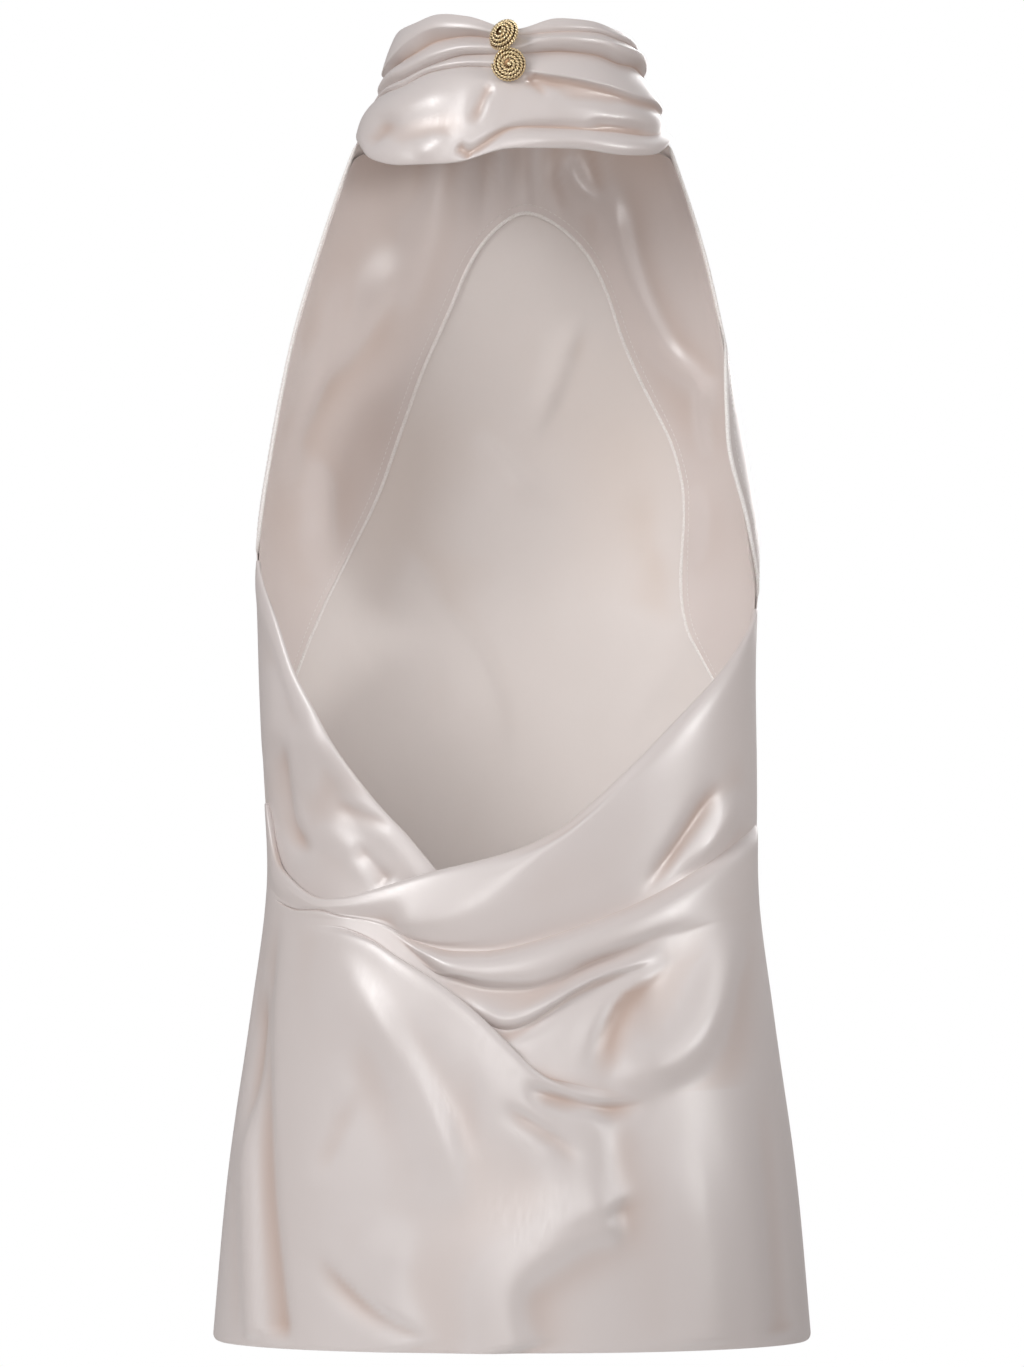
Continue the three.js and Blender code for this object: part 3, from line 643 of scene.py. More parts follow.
class Shell:
    """A thin sheet of cloth: a grid of middle points with an outer and an inner skin and a rounded rim."""

    RIM_STEPS = 4
    # The painted crease shade: how many samples the cloth is evened over to find its folds, and the fold
    # depth where the shade is full.
    CREASE_SHADE_SPREAD = 4.0
    CREASE_SHADE_DEPTH = 2.4

    def __init__(self, middle: Array, thickness: float = CLOTH, ring: bool = False) -> None:
        """Work out the skins and the rim.

        Each skin is the middle moved half the thickness along the normal, which is the cross product of the
        grid's two directions. The rim is a half circle round each edge point.

        Args:
            middle: rows by columns of points in millimetres, running down and across.
            thickness: the cloth's thickness.
            ring: whether the columns go all the way round.
        """
        rows, columns = middle.shape[:2]
        if ring:
            across = (np.roll(middle, -1, axis=1) - np.roll(middle, 1, axis=1)) / 2
        else:
            across = np.gradient(middle, axis=1)
        down = np.gradient(middle, axis=0)
        normal = unit(np.cross(across, down))
        inward = np.sum(normal[..., :2] * middle[..., :2]) < 0
        if inward:
            normal = -normal
        flat_middle, flat_normal = middle.reshape(-1, 3), normal.reshape(-1, 3)
        half = thickness / 2
        outer, inner = flat_middle + flat_normal * half, flat_middle - flat_normal * half
        cells = grid_faces(rows, columns, ring)
        size = rows * columns
        faces = [cells, cells[:, ::-1] + size]
        top = np.arange(columns)
        bottom = (rows - 1) * columns + top
        if ring:
            loops = [(top, -down[0]), (bottom[::-1], down[-1][::-1])]
        else:
            right = np.arange(rows) * columns + columns - 1
            left = np.arange(rows) * columns
            edge = np.concatenate([top[:-1], right[:-1], bottom[:0:-1], left[:0:-1]])
            away = [-down[0][:-1], across[:-1, -1], down[-1][:0:-1], -across[:0:-1, 0]]
            away = unit(np.concatenate([a.reshape(-1, 3) for a in away]))
            corner = np.cumsum([0, columns - 1, rows - 1, columns - 1])
            away[corner] = away[corner] + away[corner - 1]
            loops = [(edge, away)]
        points = [outer, inner]
        thread_of = [np.arange(size), np.arange(size)]
        count = 2 * size
        for loop, away in loops:
            n = flat_normal[loop]
            away = unit(away - n * np.sum(away * n, axis=-1, keepdims=True))
            rings = [loop]
            for k in range(1, self.RIM_STEPS):
                turn = math.pi * k / self.RIM_STEPS
                points.append(flat_middle[loop] + half * (n * math.cos(turn) + away * math.sin(turn)))
                rings.append(count + np.arange(len(loop)))
                thread_of.append(loop)
                count += len(loop)
            rings.append(loop + size)
            for a, b in zip(rings[:-1], rings[1:]):
                faces.append(np.stack([np.roll(a, -1), a, b, np.roll(b, -1)], axis=-1))
        self.points = np.concatenate(points)
        self.faces = np.concatenate(faces)
        if inward:
            self.faces = self.faces[:, ::-1]
        self.shown = np.zeros(len(self.faces), int)
        self.shown[len(cells) : 2 * len(cells)] = 1
        self.thread_of = np.concatenate(thread_of)
        self.middle = middle
        self.normal = normal

    def crease_shade_mask(self, deepest: float) -> Array:
        """How deep each point of the skins and the rim lies in a fold, from nought to one: the mask for
        painting shade into the creases.

        The depth is the evened cloth less the cloth itself, along the outward normal, less its median,
        which is what the form's own roundness gives; on the inner skin its sign is turned.

        Args:
            deepest: the depth that counts as one.

        Returns:
            One share for each point.
        """
        down = evened(self.middle.transpose(2, 1, 0), self.CREASE_SHADE_SPREAD)
        both = evened(down.transpose(0, 2, 1), self.CREASE_SHADE_SPREAD).transpose(1, 2, 0)
        depth = np.sum((both - self.middle) * self.normal, axis=-1).reshape(-1)
        size = len(depth)
        depth = (depth - np.median(depth))[self.thread_of]
        depth[size : 2 * size] *= -1
        return np.clip(depth / deepest, 0, 1)

    def build(
        self,
        name: str,
        outside: bpy.types.Material,
        inside: bpy.types.Material,
        deepest: float = CREASE_SHADE_DEPTH,
    ) -> bpy.types.Object:
        """Make the object, with a UV map that runs along the cloth's threads in metres, and a point
        attribute that says where shade is painted into its creases.

        Args:
            name: the piece's name.
            outside: the material of the outer skin and the rim.
            inside: the material of the inner skin.
            deepest: how deep a fold lies where its painted shade is full.

        Returns:
            The object.
        """
        piece = mesh_object(name, self.points, self.faces.tolist(), [outside, inside], self.shown)
        rows, columns = self.middle.shape[:2]
        warp = np.linalg.norm(np.diff(self.middle, axis=0), axis=-1)
        weft = np.linalg.norm(np.diff(self.middle, axis=1), axis=-1)
        down = np.concatenate([np.zeros((1, columns)), np.cumsum(warp, axis=0)])
        across = np.concatenate([np.zeros((rows, 1)), np.cumsum(weft, axis=1)], axis=1)
        thread = np.stack([across, -down], axis=-1).reshape(-1, 2) * MM
        corners = thread[self.thread_of[self.faces]]
        round_trip = across[:, -1:].max() * MM
        wrapped = np.ptp(corners[..., 0], axis=1) > round_trip / 2
        corners[..., 0] += round_trip * (wrapped[:, None] & (corners[..., 0] < round_trip / 2))
        layer = piece.data.uv_layers.new(name="threads")
        layer.data.foreach_set("uv", corners.reshape(-1).astype(np.float32))
        # Painted shade: each point's share of lying in a crease, which the cloth material darkens and warms.
        crease_shade = piece.data.attributes.new("crease_shade", "FLOAT", "POINT")
        crease_shade.data.foreach_set("value", self.crease_shade_mask(deepest).astype(np.float32))
        return piece


def fans(around: int, size: int) -> list[list[int]]:
    """The triangles that close the first and the last ring of a tube on two end points.

    Args:
        around: points in a ring.
        size: how many points all the rings have; the two end points come after them.

    Returns:
        The corners of each triangle.
    """
    ring = np.arange(around)
    after = np.roll(ring, -1)
    top = size - around
    first = np.stack([after, ring, np.full(around, size)], axis=-1)
    last = np.stack([top + ring, top + after, np.full(around, size + 1)], axis=-1)
    return np.concatenate([first, last]).tolist()


def lathe(profile: Array, around: int, low: float, high: float) -> tuple[Array, list[list[int]]]:
    """A profile carried round the third axis and closed by a point at each end.

    Args:
        profile: the radius and height of each ring.
        around: points in a ring.
        low: the height of the first end point.
        high: the height of the last one.

    Returns:
        Points and faces.
    """
    turn = np.linspace(0, 2 * math.pi, around, endpoint=False)
    ring = np.stack([np.cos(turn), np.sin(turn), np.zeros_like(turn)], axis=-1)
    points = profile[:, None, :1] * ring[None] + profile[:, None, 1:] * np.array(UP)
    ends = np.array([[0, 0, low], [0, 0, high]])
    faces = grid_faces(len(profile), around, True).tolist() + fans(around, len(profile) * around)
    return np.concatenate([points.reshape(-1, 3), ends]), faces


def tube(
    path: Array, side: Array, normal: Array, wide: Array, thick: Array, around: int = 10, taper: float = 0.0
) -> tuple[Array, list[list[int]]]:
    """A closed tube along a path whose section is an ellipse.

    A point is the path plus the side times the half width and the cosine, plus the normal times the half
    thickness and the sine. Near its ends the section shrinks as a quarter circle does.

    Args:
        path: the points of its middle.
        side: the unit direction of its width at each point.
        normal: the unit direction of its thickness.
        wide: half its width.
        thick: half its thickness.
        around: points in a section.
        taper: the length over which each end is rounded.

    Returns:
        Its points and its faces.
    """
    turn = np.linspace(0, 2 * math.pi, around, endpoint=False)
    along = np.concatenate([[0], np.cumsum(np.linalg.norm(np.diff(path, axis=0), axis=1))])
    ends = np.minimum(along, along[-1] - along)
    left = 1 - np.clip(ends / max(taper, 1e-6), 0, 1)
    scale = np.maximum(np.sqrt(1 - left**2), 0.05)[:, None, None]
    section = side[:, None] * np.cos(turn)[None, :, None] * np.reshape(wide, (-1, 1, 1))
    section = section + normal[:, None] * np.sin(turn)[None, :, None] * np.reshape(thick, (-1, 1, 1))
    points = path[:, None] + section * scale
    faces = grid_faces(len(path), around, True)
    faces = faces.tolist() + fans(around, len(path) * around)
    tangent = np.gradient(path, axis=0)
    if np.sum(np.cross(side, normal) * tangent) < 0:
        faces = [face[::-1] for face in faces]
    return np.concatenate([points.reshape(-1, 3), path[:1], path[-1:]]), faces


def joined(parts: list[tuple[Array, list[list[int]]]]) -> tuple[Array, list[list[int]]]:
    """Put several meshes' points and faces together.

    Args:
        parts: points and faces of each.

    Returns:
        All the points and all the faces.
    """
    start = np.cumsum([0] + [len(points) for points, _ in parts])
    faces = [[k + int(s) for k in face] for (_, some), s in zip(parts, start) for face in some]
    return np.concatenate([points for points, _ in parts]), faces


def evenly(path: Array, step: float, *others: Array) -> tuple[Array, ...]:
    """Read a path, and what goes with it, at even steps along it.

    Args:
        path: points.
        step: the step.
        others: other values at the same points.

    Returns:
        The path and the others at the steps.
    """
    along = np.concatenate([[0], np.cumsum(np.linalg.norm(np.diff(path, axis=0), axis=1))])
    at = np.linspace(0, along[-1], max(2, int(along[-1] / step)))
    return tuple(
        np.stack([np.interp(at, along, values[:, k]) for k in range(3)], axis=-1)
        for values in (path, *others)
    )


@dataclass(frozen=True)
class Stitching:
    """A row of small stitches: thread capsules that dip into the cloth at both ends."""

    length: float = 2.3
    pitch: float = 3.2
    thread: float = 0.2
    around: int = 6

    def mesh(self, path: Array, normal: Array) -> tuple[Array, list[list[int]]]:
        """Lay the stitches along a path.

        Each ring of a stitch stands along the path by a share of half its length, is as thick as a rounded
        end lets it be, and sinks by the fourth power of that share.

        Args:
            path: points on the cloth.
            normal: the cloth's normal there, towards the side that shows.

        Returns:
            Points and faces.
        """
        centre, up = evenly(path, self.pitch, normal)
        up = unit(up)
        tangent = unit(np.gradient(centre, axis=0))
        side = unit(np.cross(tangent, up))
        share = np.array([-1.0, -0.75, -0.3, 0.3, 0.75, 1.0])
        size = np.array([0.35, 0.8, 1.0, 1.0, 0.8, 0.35]) * self.thread
        turn = np.linspace(0, 2 * math.pi, self.around, endpoint=False)
        axis = centre[:, None] + tangent[:, None] * (share * self.length / 2)[None, :, None]
        axis = axis + up[:, None] * (self.thread * (0.5 - 1.4 * share**4))[None, :, None]
        spoke = side[:, None] * np.cos(turn)[None, :, None] + up[:, None] * np.sin(turn)[None, :, None]
        points = axis[:, :, None] + spoke[:, None] * size[None, :, None, None]
        one = grid_faces(len(share), self.around, True)[:, ::-1].tolist()
        ring = list(range(self.around))
        last = (len(share) - 1) * self.around
        one += [ring, [last + k for k in reversed(ring)]]
        count = len(share) * self.around
        faces = [[k + n * count for k in face] for n in range(len(centre)) for face in one]
        return points.reshape(-1, 3), faces


class Tree:
    """A material's node tree, with short calls to add and join nodes."""

    def __init__(self, name: str) -> None:
        """Start an empty material with a Principled shader.

        Args:
            name: the material's name.
        """
        self.material = bpy.data.materials.new(name)
        self.material.use_nodes = True
        self.nodes = self.material.node_tree.nodes
        self.links = self.material.node_tree.links
        self.shader = self.nodes["Principled BSDF"]

    def add(self, kind: str, inputs: dict | None = None, **settings: object) -> bpy.types.Node:
        """Add a node.

        Args:
            kind: the node's type without its ShaderNode start.
            inputs: values or sockets for its inputs, by name or number.
            settings: its own settings.

        Returns:
            The node.
        """
        node = self.nodes.new("ShaderNode" + kind)
        for key, value in settings.items():
            setattr(node, key, value)
        for key, value in (inputs or {}).items():
            self.set(node, key, value)
        return node

    def set(self, node: bpy.types.Node, key: str | int, value: object) -> None:
        """Give an input a value, or join a socket to it.

        Args:
            node: the node.
            key: the input's name or number.
            value: a value or an output socket.
        """
        if isinstance(value, bpy.types.NodeSocket):
            self.links.new(value, node.inputs[key])
        else:
            node.inputs[key].default_value = value

    def noise(
        self, coordinates: bpy.types.NodeSocket, size: tuple, scale: float, detail: float = 2.0
    ) -> object:
        """A noise whose grain is stretched along the axes.

        Args:
            coordinates: where it is read.
            size: how many times the coordinates are multiplied on each axis.
            scale: the noise's own scale.
            detail: its octaves.

        Returns:
            The socket of its value.
        """
        mapping = self.add("Mapping", {"Vector": coordinates, "Scale": size})
        given = {"Vector": mapping.outputs[0], "Scale": scale, "Detail": detail}
        return self.add("TexNoise", given).outputs[0]

    def ranged(self, value: object, low: float, high: float) -> object:
        """Map the middle range of a noise to a range of values.

        Args:
            value: the noise.
            low: the value at 0.3.
            high: the value at 0.7.

        Returns:
            The socket of the result.
        """
        given = {"Value": value, "From Min": 0.3, "From Max": 0.7, "To Min": low, "To Max": high}
        return self.add("MapRange", given).outputs[0]

    def blend(self, share: object, a: tuple, b: tuple) -> object:
        """Mix two colours by a socket.

        Args:
            share: the share of the second colour.
            a: the first colour.
            b: the second colour.

        Returns:
            The socket of the colour.
        """
        node = self.add("Mix", data_type="RGBA")
        self.set(node, 0, share)
        self.set(node, 6, (*a, 1.0) if isinstance(a, tuple) else a)
        self.set(node, 7, (*b, 1.0) if isinstance(b, tuple) else b)
        return node.outputs[2]


@dataclass(frozen=True)
class ClothFinish:
    """Satin or its matte wrong side: a fine weave, faint unevenness of tone and gloss, soft waviness, and
    painted shade in its creases.
    """

    name: str
    colour: tuple[float, float, float]
    deeper: tuple[float, float, float]
    # Painted shade: the darker, warmer colour laid into the cloth's creases.
    hollow_patina_and_shade: tuple[float, float, float]
    roughness: tuple[float, float]
    sheen: float
    specular: float
    weave: float
    waviness: float
    index: float

    def make(self) -> bpy.types.Material:
        """Build the material on the cloth's own UV map, so that its grain follows the cloth."""
        tree = Tree(self.name)
        threads = tree.add("UVMap", uv_map="threads").outputs[0]
        place = tree.add("TexCoord").outputs["Object"]
        tone = tree.ranged(tree.noise(place, (1, 1, 0.6), 11.0, 3.0), 0.0, 1.0)
        slub = tree.ranged(tree.noise(threads, (900, 90, 1), 1.0, 2.0), 0.0, 1.0)
        colour = tree.blend(tone, self.colour, self.deeper)
        slub_share = tree.add("Math", {0: slub, 1: 0.12}, operation="MULTIPLY").outputs[0]
        colour = tree.blend(slub_share, colour, self.deeper)
        # Painted shade: the crease attribute blends the colour towards the darker, warmer crease colour.
        crease_shade = tree.add("Attribute", attribute_name="crease_shade").outputs["Fac"]
        tree.set(tree.shader, "Base Color", tree.blend(crease_shade, colour, self.hollow_patina_and_shade))
        tree.set(tree.shader, "Roughness", tree.ranged(slub, *self.roughness))
        weft = tree.noise(threads, (3200, 700, 1), 1.0, 1.0)
        waves = tree.noise(place, (1, 1, 0.35), 42.0, 2.0)
        first = tree.add("Bump", {"Strength": self.weave, "Distance": 0.0002, "Height": weft})
        second = tree.add(
            "Bump",
            {"Strength": self.waviness, "Distance": 0.002, "Height": waves, "Normal": first.outputs[0]},
        )
        tree.set(tree.shader, "Normal", second.outputs[0])
        tree.set(tree.shader, "Sheen Weight", self.sheen)
        tree.set(tree.shader, "Sheen Roughness", 0.45)
        tree.set(tree.shader, "Specular IOR Level", self.specular)
        tree.set(tree.shader, "IOR", self.index)
        return tree.material


@dataclass(frozen=True)
class ThreadFinish:
    """Sewing thread or an overlocked edge: matte, with a fine twist across it."""

    name: str
    colour: tuple[float, float, float]
    deeper: tuple[float, float, float]

    def make(self) -> bpy.types.Material:
        """Build the material on the object's own coordinates."""
        tree = Tree(self.name)
        place = tree.add("TexCoord").outputs["Object"]
        twist = tree.ranged(tree.noise(place, (1, 1, 1), 1400.0, 1.0), 0.0, 1.0)
        tree.set(tree.shader, "Base Color", tree.blend(twist, self.colour, self.deeper))
        tree.set(tree.shader, "Roughness", 0.7)
        bump = tree.add("Bump", {"Strength": 0.35, "Distance": 0.0002, "Height": twist})
        tree.set(tree.shader, "Normal", bump.outputs[0])
        return tree.material


@dataclass(frozen=True)
class MetalFinish:
    """Antique gold: polished where it stands out and dark in its hollows."""

    name: str
    polished: tuple[float, float, float]
    worn: tuple[float, float, float]
    hollow_patina_and_shade: tuple[float, float, float]

    def make(self) -> bpy.types.Material:
        """Build the material on the relief attribute, which is one on the high places."""
        tree = Tree(self.name)
        relief = tree.add("Attribute", attribute_name="relief").outputs["Fac"]
        place = tree.add("TexCoord").outputs["Object"]
        spots = tree.ranged(tree.noise(place, (1, 1, 1), 900.0, 3.0), 0.0, 1.0)
        gold = tree.blend(spots, self.polished, self.worn)
        high = tree.add("MapRange", {"Value": relief, "From Min": 0.05, "From Max": 0.55}).outputs[0]
        tree.set(tree.shader, "Base Color", tree.blend(high, self.hollow_patina_and_shade, gold))
        dull = tree.add("MapRange", {"Value": spots, "To Min": 0.22, "To Max": 0.4}).outputs[0]
        tree.set(tree.shader, "Roughness", dull)
        tree.set(tree.shader, "Metallic", 1.0)
        bump = tree.add("Bump", {"Strength": 0.12, "Distance": 0.0002, "Height": spots})
        tree.set(tree.shader, "Normal", bump.outputs[0])
        return tree.material


class Finishes:
    """Every material of the top."""

    def __init__(self) -> None:
        """Make the materials once."""
        # The third colour of each cloth finish is painted shade, laid into its creases.
        self.satin = ClothFinish(
            "satin_face",
            colour=(0.67, 0.615, 0.6),
            deeper=(0.645, 0.585, 0.565),
            hollow_patina_and_shade=(0.55, 0.42, 0.36),
            roughness=(0.33, 0.39),
            sheen=0.12,
            specular=0.65,
            weave=0.1,
            waviness=0.06,
            index=1.8,
        ).make()
        # Painted light: the facing is the same satin as the face, given a lighter colour to stand in for
        # light that reaches the inside less.
        self.facing = ClothFinish(
            "satin_facing_lightened",
            colour=(0.74, 0.67, 0.645),
            deeper=(0.71, 0.63, 0.6),
            hollow_patina_and_shade=(0.62, 0.5, 0.44),
            roughness=(0.3, 0.36),
            sheen=0.12,
            specular=0.65,
            weave=0.1,
            waviness=0.08,
            index=1.8,
        ).make()
        self.wrong = ClothFinish(
            "satin_wrong_side",
            colour=(0.8, 0.75, 0.725),
            deeper=(0.77, 0.715, 0.685),
            hollow_patina_and_shade=(0.74, 0.66, 0.61),
            roughness=(0.55, 0.66),
            sheen=0.2,
            specular=0.3,
            weave=0.2,
            waviness=0.1,
            index=1.5,
        ).make()
        self.thread = ThreadFinish("sewing_thread", (0.95, 0.925, 0.905), (0.8, 0.755, 0.725)).make()
        self.gold = MetalFinish(
            "antique_gold", (0.97, 0.84, 0.58), (0.9, 0.7, 0.4), (0.14, 0.065, 0.025)
        ).make()


@dataclass
class Collar:
    """The gathered collar: a ring of cloth whose fold lines are drawn together at the nape."""

    body: Body
    columns: int = 330
    steps: int = 5
    pinch: float = 0.5
    stronger: float = 1.35
    pinch_width: float = 11.0
    crowding: float = 0.4
    back_from: float = 0.45
    back_over: float = 0.75
    front_share: float = 0.3
    # The fold depth where the collar's painted crease shade is full; smaller than elsewhere, so its shade is
    # stronger.
    deepest: float = 1.6
    turned_top: Points = ((4.0, -1.7), (1.0, -1.9), (-0.4, -1.2))
    turned_low: Points = ((0.3, -0.5), (-1.4, -1.3), (-4.0, -1.5))
    folds: tuple[Fold, ...] = (
        Fold(((8, -3), (15, -9), (23, -16)), -1.5, 2.4, 3.2, 0.15, 0.5),
        Fold(((10, -1), (20, -5), (32, -9)), -1.2, 2.2, 3.0, 0.15, 0.5),
        Fold(((-10, -6), (-16, -14), (-19, -22), (-23, -31)), -2.2, 3.2, 4.2, 0.2, 0.4),
        Fold(((-31.8, -41.2), (-27, -45), (-22, -48)), -2.4, 3.0, 3.0, 0.3, 0.3),
        Fold(
            ((-29, -48), (-18.2, -42.3), (-11.4, -37.7), (-0.6, -32), (7.4, -30.9), (31.2, -30.4),
             (60, -32.6)),
            -2.8, 2.2, 2.6, 0.12, 0.4,
        ),
        Fold(((-28, -12), (-56, -15.6), (-82, -21)), 2.0, 9.0, 13.0, 0.35, 0.35),
        Fold(((-16, -20), (-36, -27), (-60, -33), (-80, -40)), -1.5, 8.0, 11.0, 0.35, 0.3),
        Fold(((-62, -22), (-74, -31), (-84, -44)), -2.6, 5.0, 7.0, 0.4, 0.4),
        Fold(((-34, -34), (-46, -42), (-54, -50)), 1.2, 5.0, 8.0, 0.4, 0.4),
        Fold(((20, -12.5), (48, -14.5), (70, -22)), -1.4, 4.0, 5.0, 0.35, 0.35),
        Fold(((40, -28.5), (64, -29.5), (86, -31)), -3.0, 3.0, 5.0, 0.35, 0.3),
    )

    def __post_init__(self) -> None:
        """Make a smooth curve round the neck for each fold line."""
        turns = np.array([-360, 0, 360])
        stations = self.body.from_solid(np.add.outer(turns, COLLAR_STATIONS).reshape(-1))
        self.lines = [Curve(stations, np.tile(row[0], 3), 2.5) for row in COLLAR_ROWS]

    def seam(self, degrees: Array) -> Array:
        """The height of the collar's lower edge.

        Args:
            degrees: the angle round the neck.

        Returns:
            The height.
        """
        return self.lines[-1](degrees)

    def build(self, finishes: Finishes) -> bpy.types.Object:
        """Build the collar: its control rows are the fold lines, and a B-spline runs down through them.

        Args:
            finishes: the materials.

        Returns:
            The object.
        """
        u = np.arange(self.columns) / self.columns
        degrees = 90 - 360 * (u + self.crowding * np.sin(2 * math.pi * u) / (2 * math.pi))
        on_back = 1 - smooth((np.sin(np.radians(degrees)) + self.back_from) / self.back_over)
        on_back = self.front_share + (1 - self.front_share) * on_back
        to_left = smooth(0.5 - np.cos(np.radians(degrees)) * 3)
        from_nape = np.abs(degrees + 90)
        pinched = 1 - self.pinch * np.exp(-((from_nape / self.pinch_width) ** 2))
        rows = []
        for line, (_, left, right, sharp) in zip(self.lines, COLLAR_ROWS):
            out = self.stronger * on_back * pinched * mix(right, left, to_left)
            rows += [(line(degrees), out)] * (2 if sharp else 1)
        top, low = self.lines[0](degrees), self.lines[-1](degrees)
        before = [(top - drop, np.full(self.columns, out)) for drop, out in self.turned_top]
        after = [(low - drop, np.full(self.columns, out)) for drop, out in self.turned_low]
        control = np.array(before + rows + after)
        fine = spline(control, [self.steps] * (len(control) - 1))
        z, out = fine[:, 0], fine[:, 1]
        turned = np.broadcast_to(degrees, z.shape)
        x = self.body.point(turned, z)[..., 0]
        behind = smooth(-np.sin(np.radians(turned)) * 2.5 - 0.1)
        middle = self.body.point(turned, z, out + behind * laid(self.folds, x, z))
        shell = Shell(middle, CLOTH, ring=True)
        return shell.build("collar_cloth", finishes.satin, finishes.wrong, self.deepest)


@dataclass
class Front:
    """The front panel: bust shaping, armhole edges, soft drag folds and the seams' grooves."""

    body: Body
    collar: Collar
    columns: int = 150
    rows: int = 230
    top: float = -31.0
    last: float = -725.0
    reach: float = 40.0
    bust_height: float = -232.0
    bust_apart: float = 66.0
    bust_rise: float = 9.0
    bust_wide: float = 40.0
    bust_tall: float = 58.0
    folds: tuple[Fold, ...] = (
        Fold(((42, -124), (28, -165), (9, -206)), -2.6, 4.0, 10.0, 0.3, 0.4),
        Fold(((-24, -193), (-2, -218), (24, -238)), -2.2, 4.4, 9.0, 0.3, 0.4),
        Fold(((-4, -222), (11.9, -232.7), (28, -242)), -1.0, 4.0, 6.0, 0.3, 0.4),
        Fold(((-72, -255), (-43, -307), (-23.3, -330), (-8.4, -365), (-3, -402)), -3.0, 7.0, 16.0, 0.3, 0.3),
        Fold(((74, -222), (76.4, -262.5), (86.6, -295.4), (98.5, -322)), 1.8, 8.0, 12.0, 0.3, 0.3),
        Fold(((-30, -400), (-8, -470), (-2, -560)), 1.6, 12.0, 16.0, 0.4, 0.4),
        Fold(((-96, -470), (-108, -590), (-118, -724)), 2.0, 11.0, 16.0, 0.4, 0.1),
        Fold(((-56, -520), (-62, -620), (-66, -724)), -1.8, 12.0, 15.0, 0.4, 0.1),
        Fold(((30, -500), (36, -610), (40, -724)), 2.2, 14.0, 18.0, 0.4, 0.1),
        Fold(((92, -480), (104, -600), (112, -724)), -1.8, 12.0, 16.0, 0.4, 0.1),
        Fold(((118, -300), (84, -352), (60, -380)), -1.4, 7.0, 10.0, 0.3, 0.5),
        Fold(((-118, -300), (-90, -340), (-70, -362)), -1.2, 7.0, 10.0, 0.3, 0.5),
    )
    gathers: tuple[tuple[float, float, float], ...] = (
        (-52, -78, 0.8), (-43, -92, -0.9), (-33, -70, 0.9), (-24, -104, -0.8), (-14, -84, 0.8),
        (-5, -96, -0.9), (6, -74, 0.8), (14, -108, -0.9), (25, -86, 0.9), (35, -98, -0.8), (45, -72, 0.9),
        (54, -88, -0.7),
    )
    around: float = 260.0
    side_turn: float = 2.2
    neck_turn: float = 2.5

    def __post_init__(self) -> None:
        """Make the armhole curves and all the folds."""
        z, left, right = np.array(ARMHOLES, float).T
        self.left = Curve(z, self.body.from_solid(180 + left), 3)
        self.right = Curve(z, self.body.from_solid(360 - right) - 360, 3)
        gathered = tuple(
            Fold(((x, -24), (x * 1.1, (low - 24) / 2), (x * 1.25, low)), high, 3.2, 3.8, 0.02, 0.8)
            for x, low, high in self.gathers
        )
        box, lean = ((-110, -560), (110, -300)), ((-26, -90), (26, -50))
        faint = creased(7, 18, box, lean, 0.5, ((6, 6), (12, 12)))
        self.every_fold = self.folds + gathered + faint

    def surface(self, degrees: Array, z: Array, out: Array = 0.0) -> Array:
        """A point of the front: the section, the bust's two Gaussian rises and the folds.

        Args:
            degrees: the angle round the section.
            z: the height.
            out: how far out.

        Returns:
            The points.
        """
        flat = self.body.point(degrees, z)
        x = flat[..., 0]
        before = smooth(np.sin(np.radians(degrees)) * 1.4)
        beside = (np.abs(x) - self.bust_apart) / self.bust_wide
        above = (z - self.bust_height) / self.bust_tall
        bust = self.bust_rise * np.exp(-(beside**2) - above**2)
        return self.body.point(degrees, z, out + before * (bust + laid(self.every_fold, x, z)))

    def at(self, u: Array, v: Array, out: Array = 0.0) -> Array:
        """A point of the panel from its left edge to its right one and from the collar to the hem.

        Args:
            u: the share of the way across.
            v: the share of the way down.
            out: how far out.

        Returns:
            The points.
        """
        nominal = self.body.from_solid(np.clip(180 * (1 - u), 0.01, 179.99))
        row = mix(self.top, self.last, v)
        rise = self.collar.seam(nominal) - COLLAR_SEAM - self.top
        drop = self.body.hem(nominal) - self.last
        z = row + rise * np.exp((row - self.top) / self.reach)
        z = z + drop * np.exp((self.last - row) / self.reach)
        seam = self.body.from_solid(SEAM_DEGREES)
        degrees = mix(self.left(z) - seam, self.right(z) + seam, u)
        return self.surface(degrees, z, out)

    def build(self, finishes: Finishes) -> bpy.types.Object:
        """Build the panel; its edges turn in a little where they are sewn.

        Args:
            finishes: the materials.

        Returns:
            The object.
        """
        v, u = shares(self.rows, self.columns)
        from_edge = np.minimum(u, 1 - u) * self.around
        from_seam = v * (self.top - self.last)
        turned = np.exp(-((from_edge / self.side_turn) ** 2)), np.exp(-((from_seam / self.neck_turn) ** 2))
        middle = self.at(u, v, SEAM_TURN_IN * turned[0] + SEAM_TURN_IN * turned[1])
        return Shell(middle).build("front_cloth", finishes.satin, finishes.wrong)

    def edge(
        self, left: bool, top: float, low: float, offset: float, out: float
    ) -> tuple[Array, Array, Array]:
        """A line along an armhole edge.

        Args:
            left: whether it is the left armhole.
            top: its upper height.
            low: its lower height.
            offset: how far in from the edge, across the panel.
            out: how far out.

        Returns:
            Its points, the unit direction across the panel and the unit normal.
        """
        v = (self.top - np.linspace(top, low, 220)) / (self.top - self.last)
        start, way = (0.0, 1.0) if left else (1.0, -1.0)
        near = self.at(np.full_like(v, start), v)
        beside = self.at(np.full_like(v, start + way * 0.02), v)
        step = offset / np.linalg.norm(beside - near, axis=-1) * 0.02
        path = self.at(start + way * step, v, out)
        side = unit(self.at(start + way * (step + 0.01), v, out) - path)
        normal = unit(np.cross(side, np.gradient(path, axis=0)))
        normal *= np.sign(np.sum(normal[..., :2] * path[..., :2]))
        return path, unit(np.cross(normal, np.gradient(path, axis=0))), normal

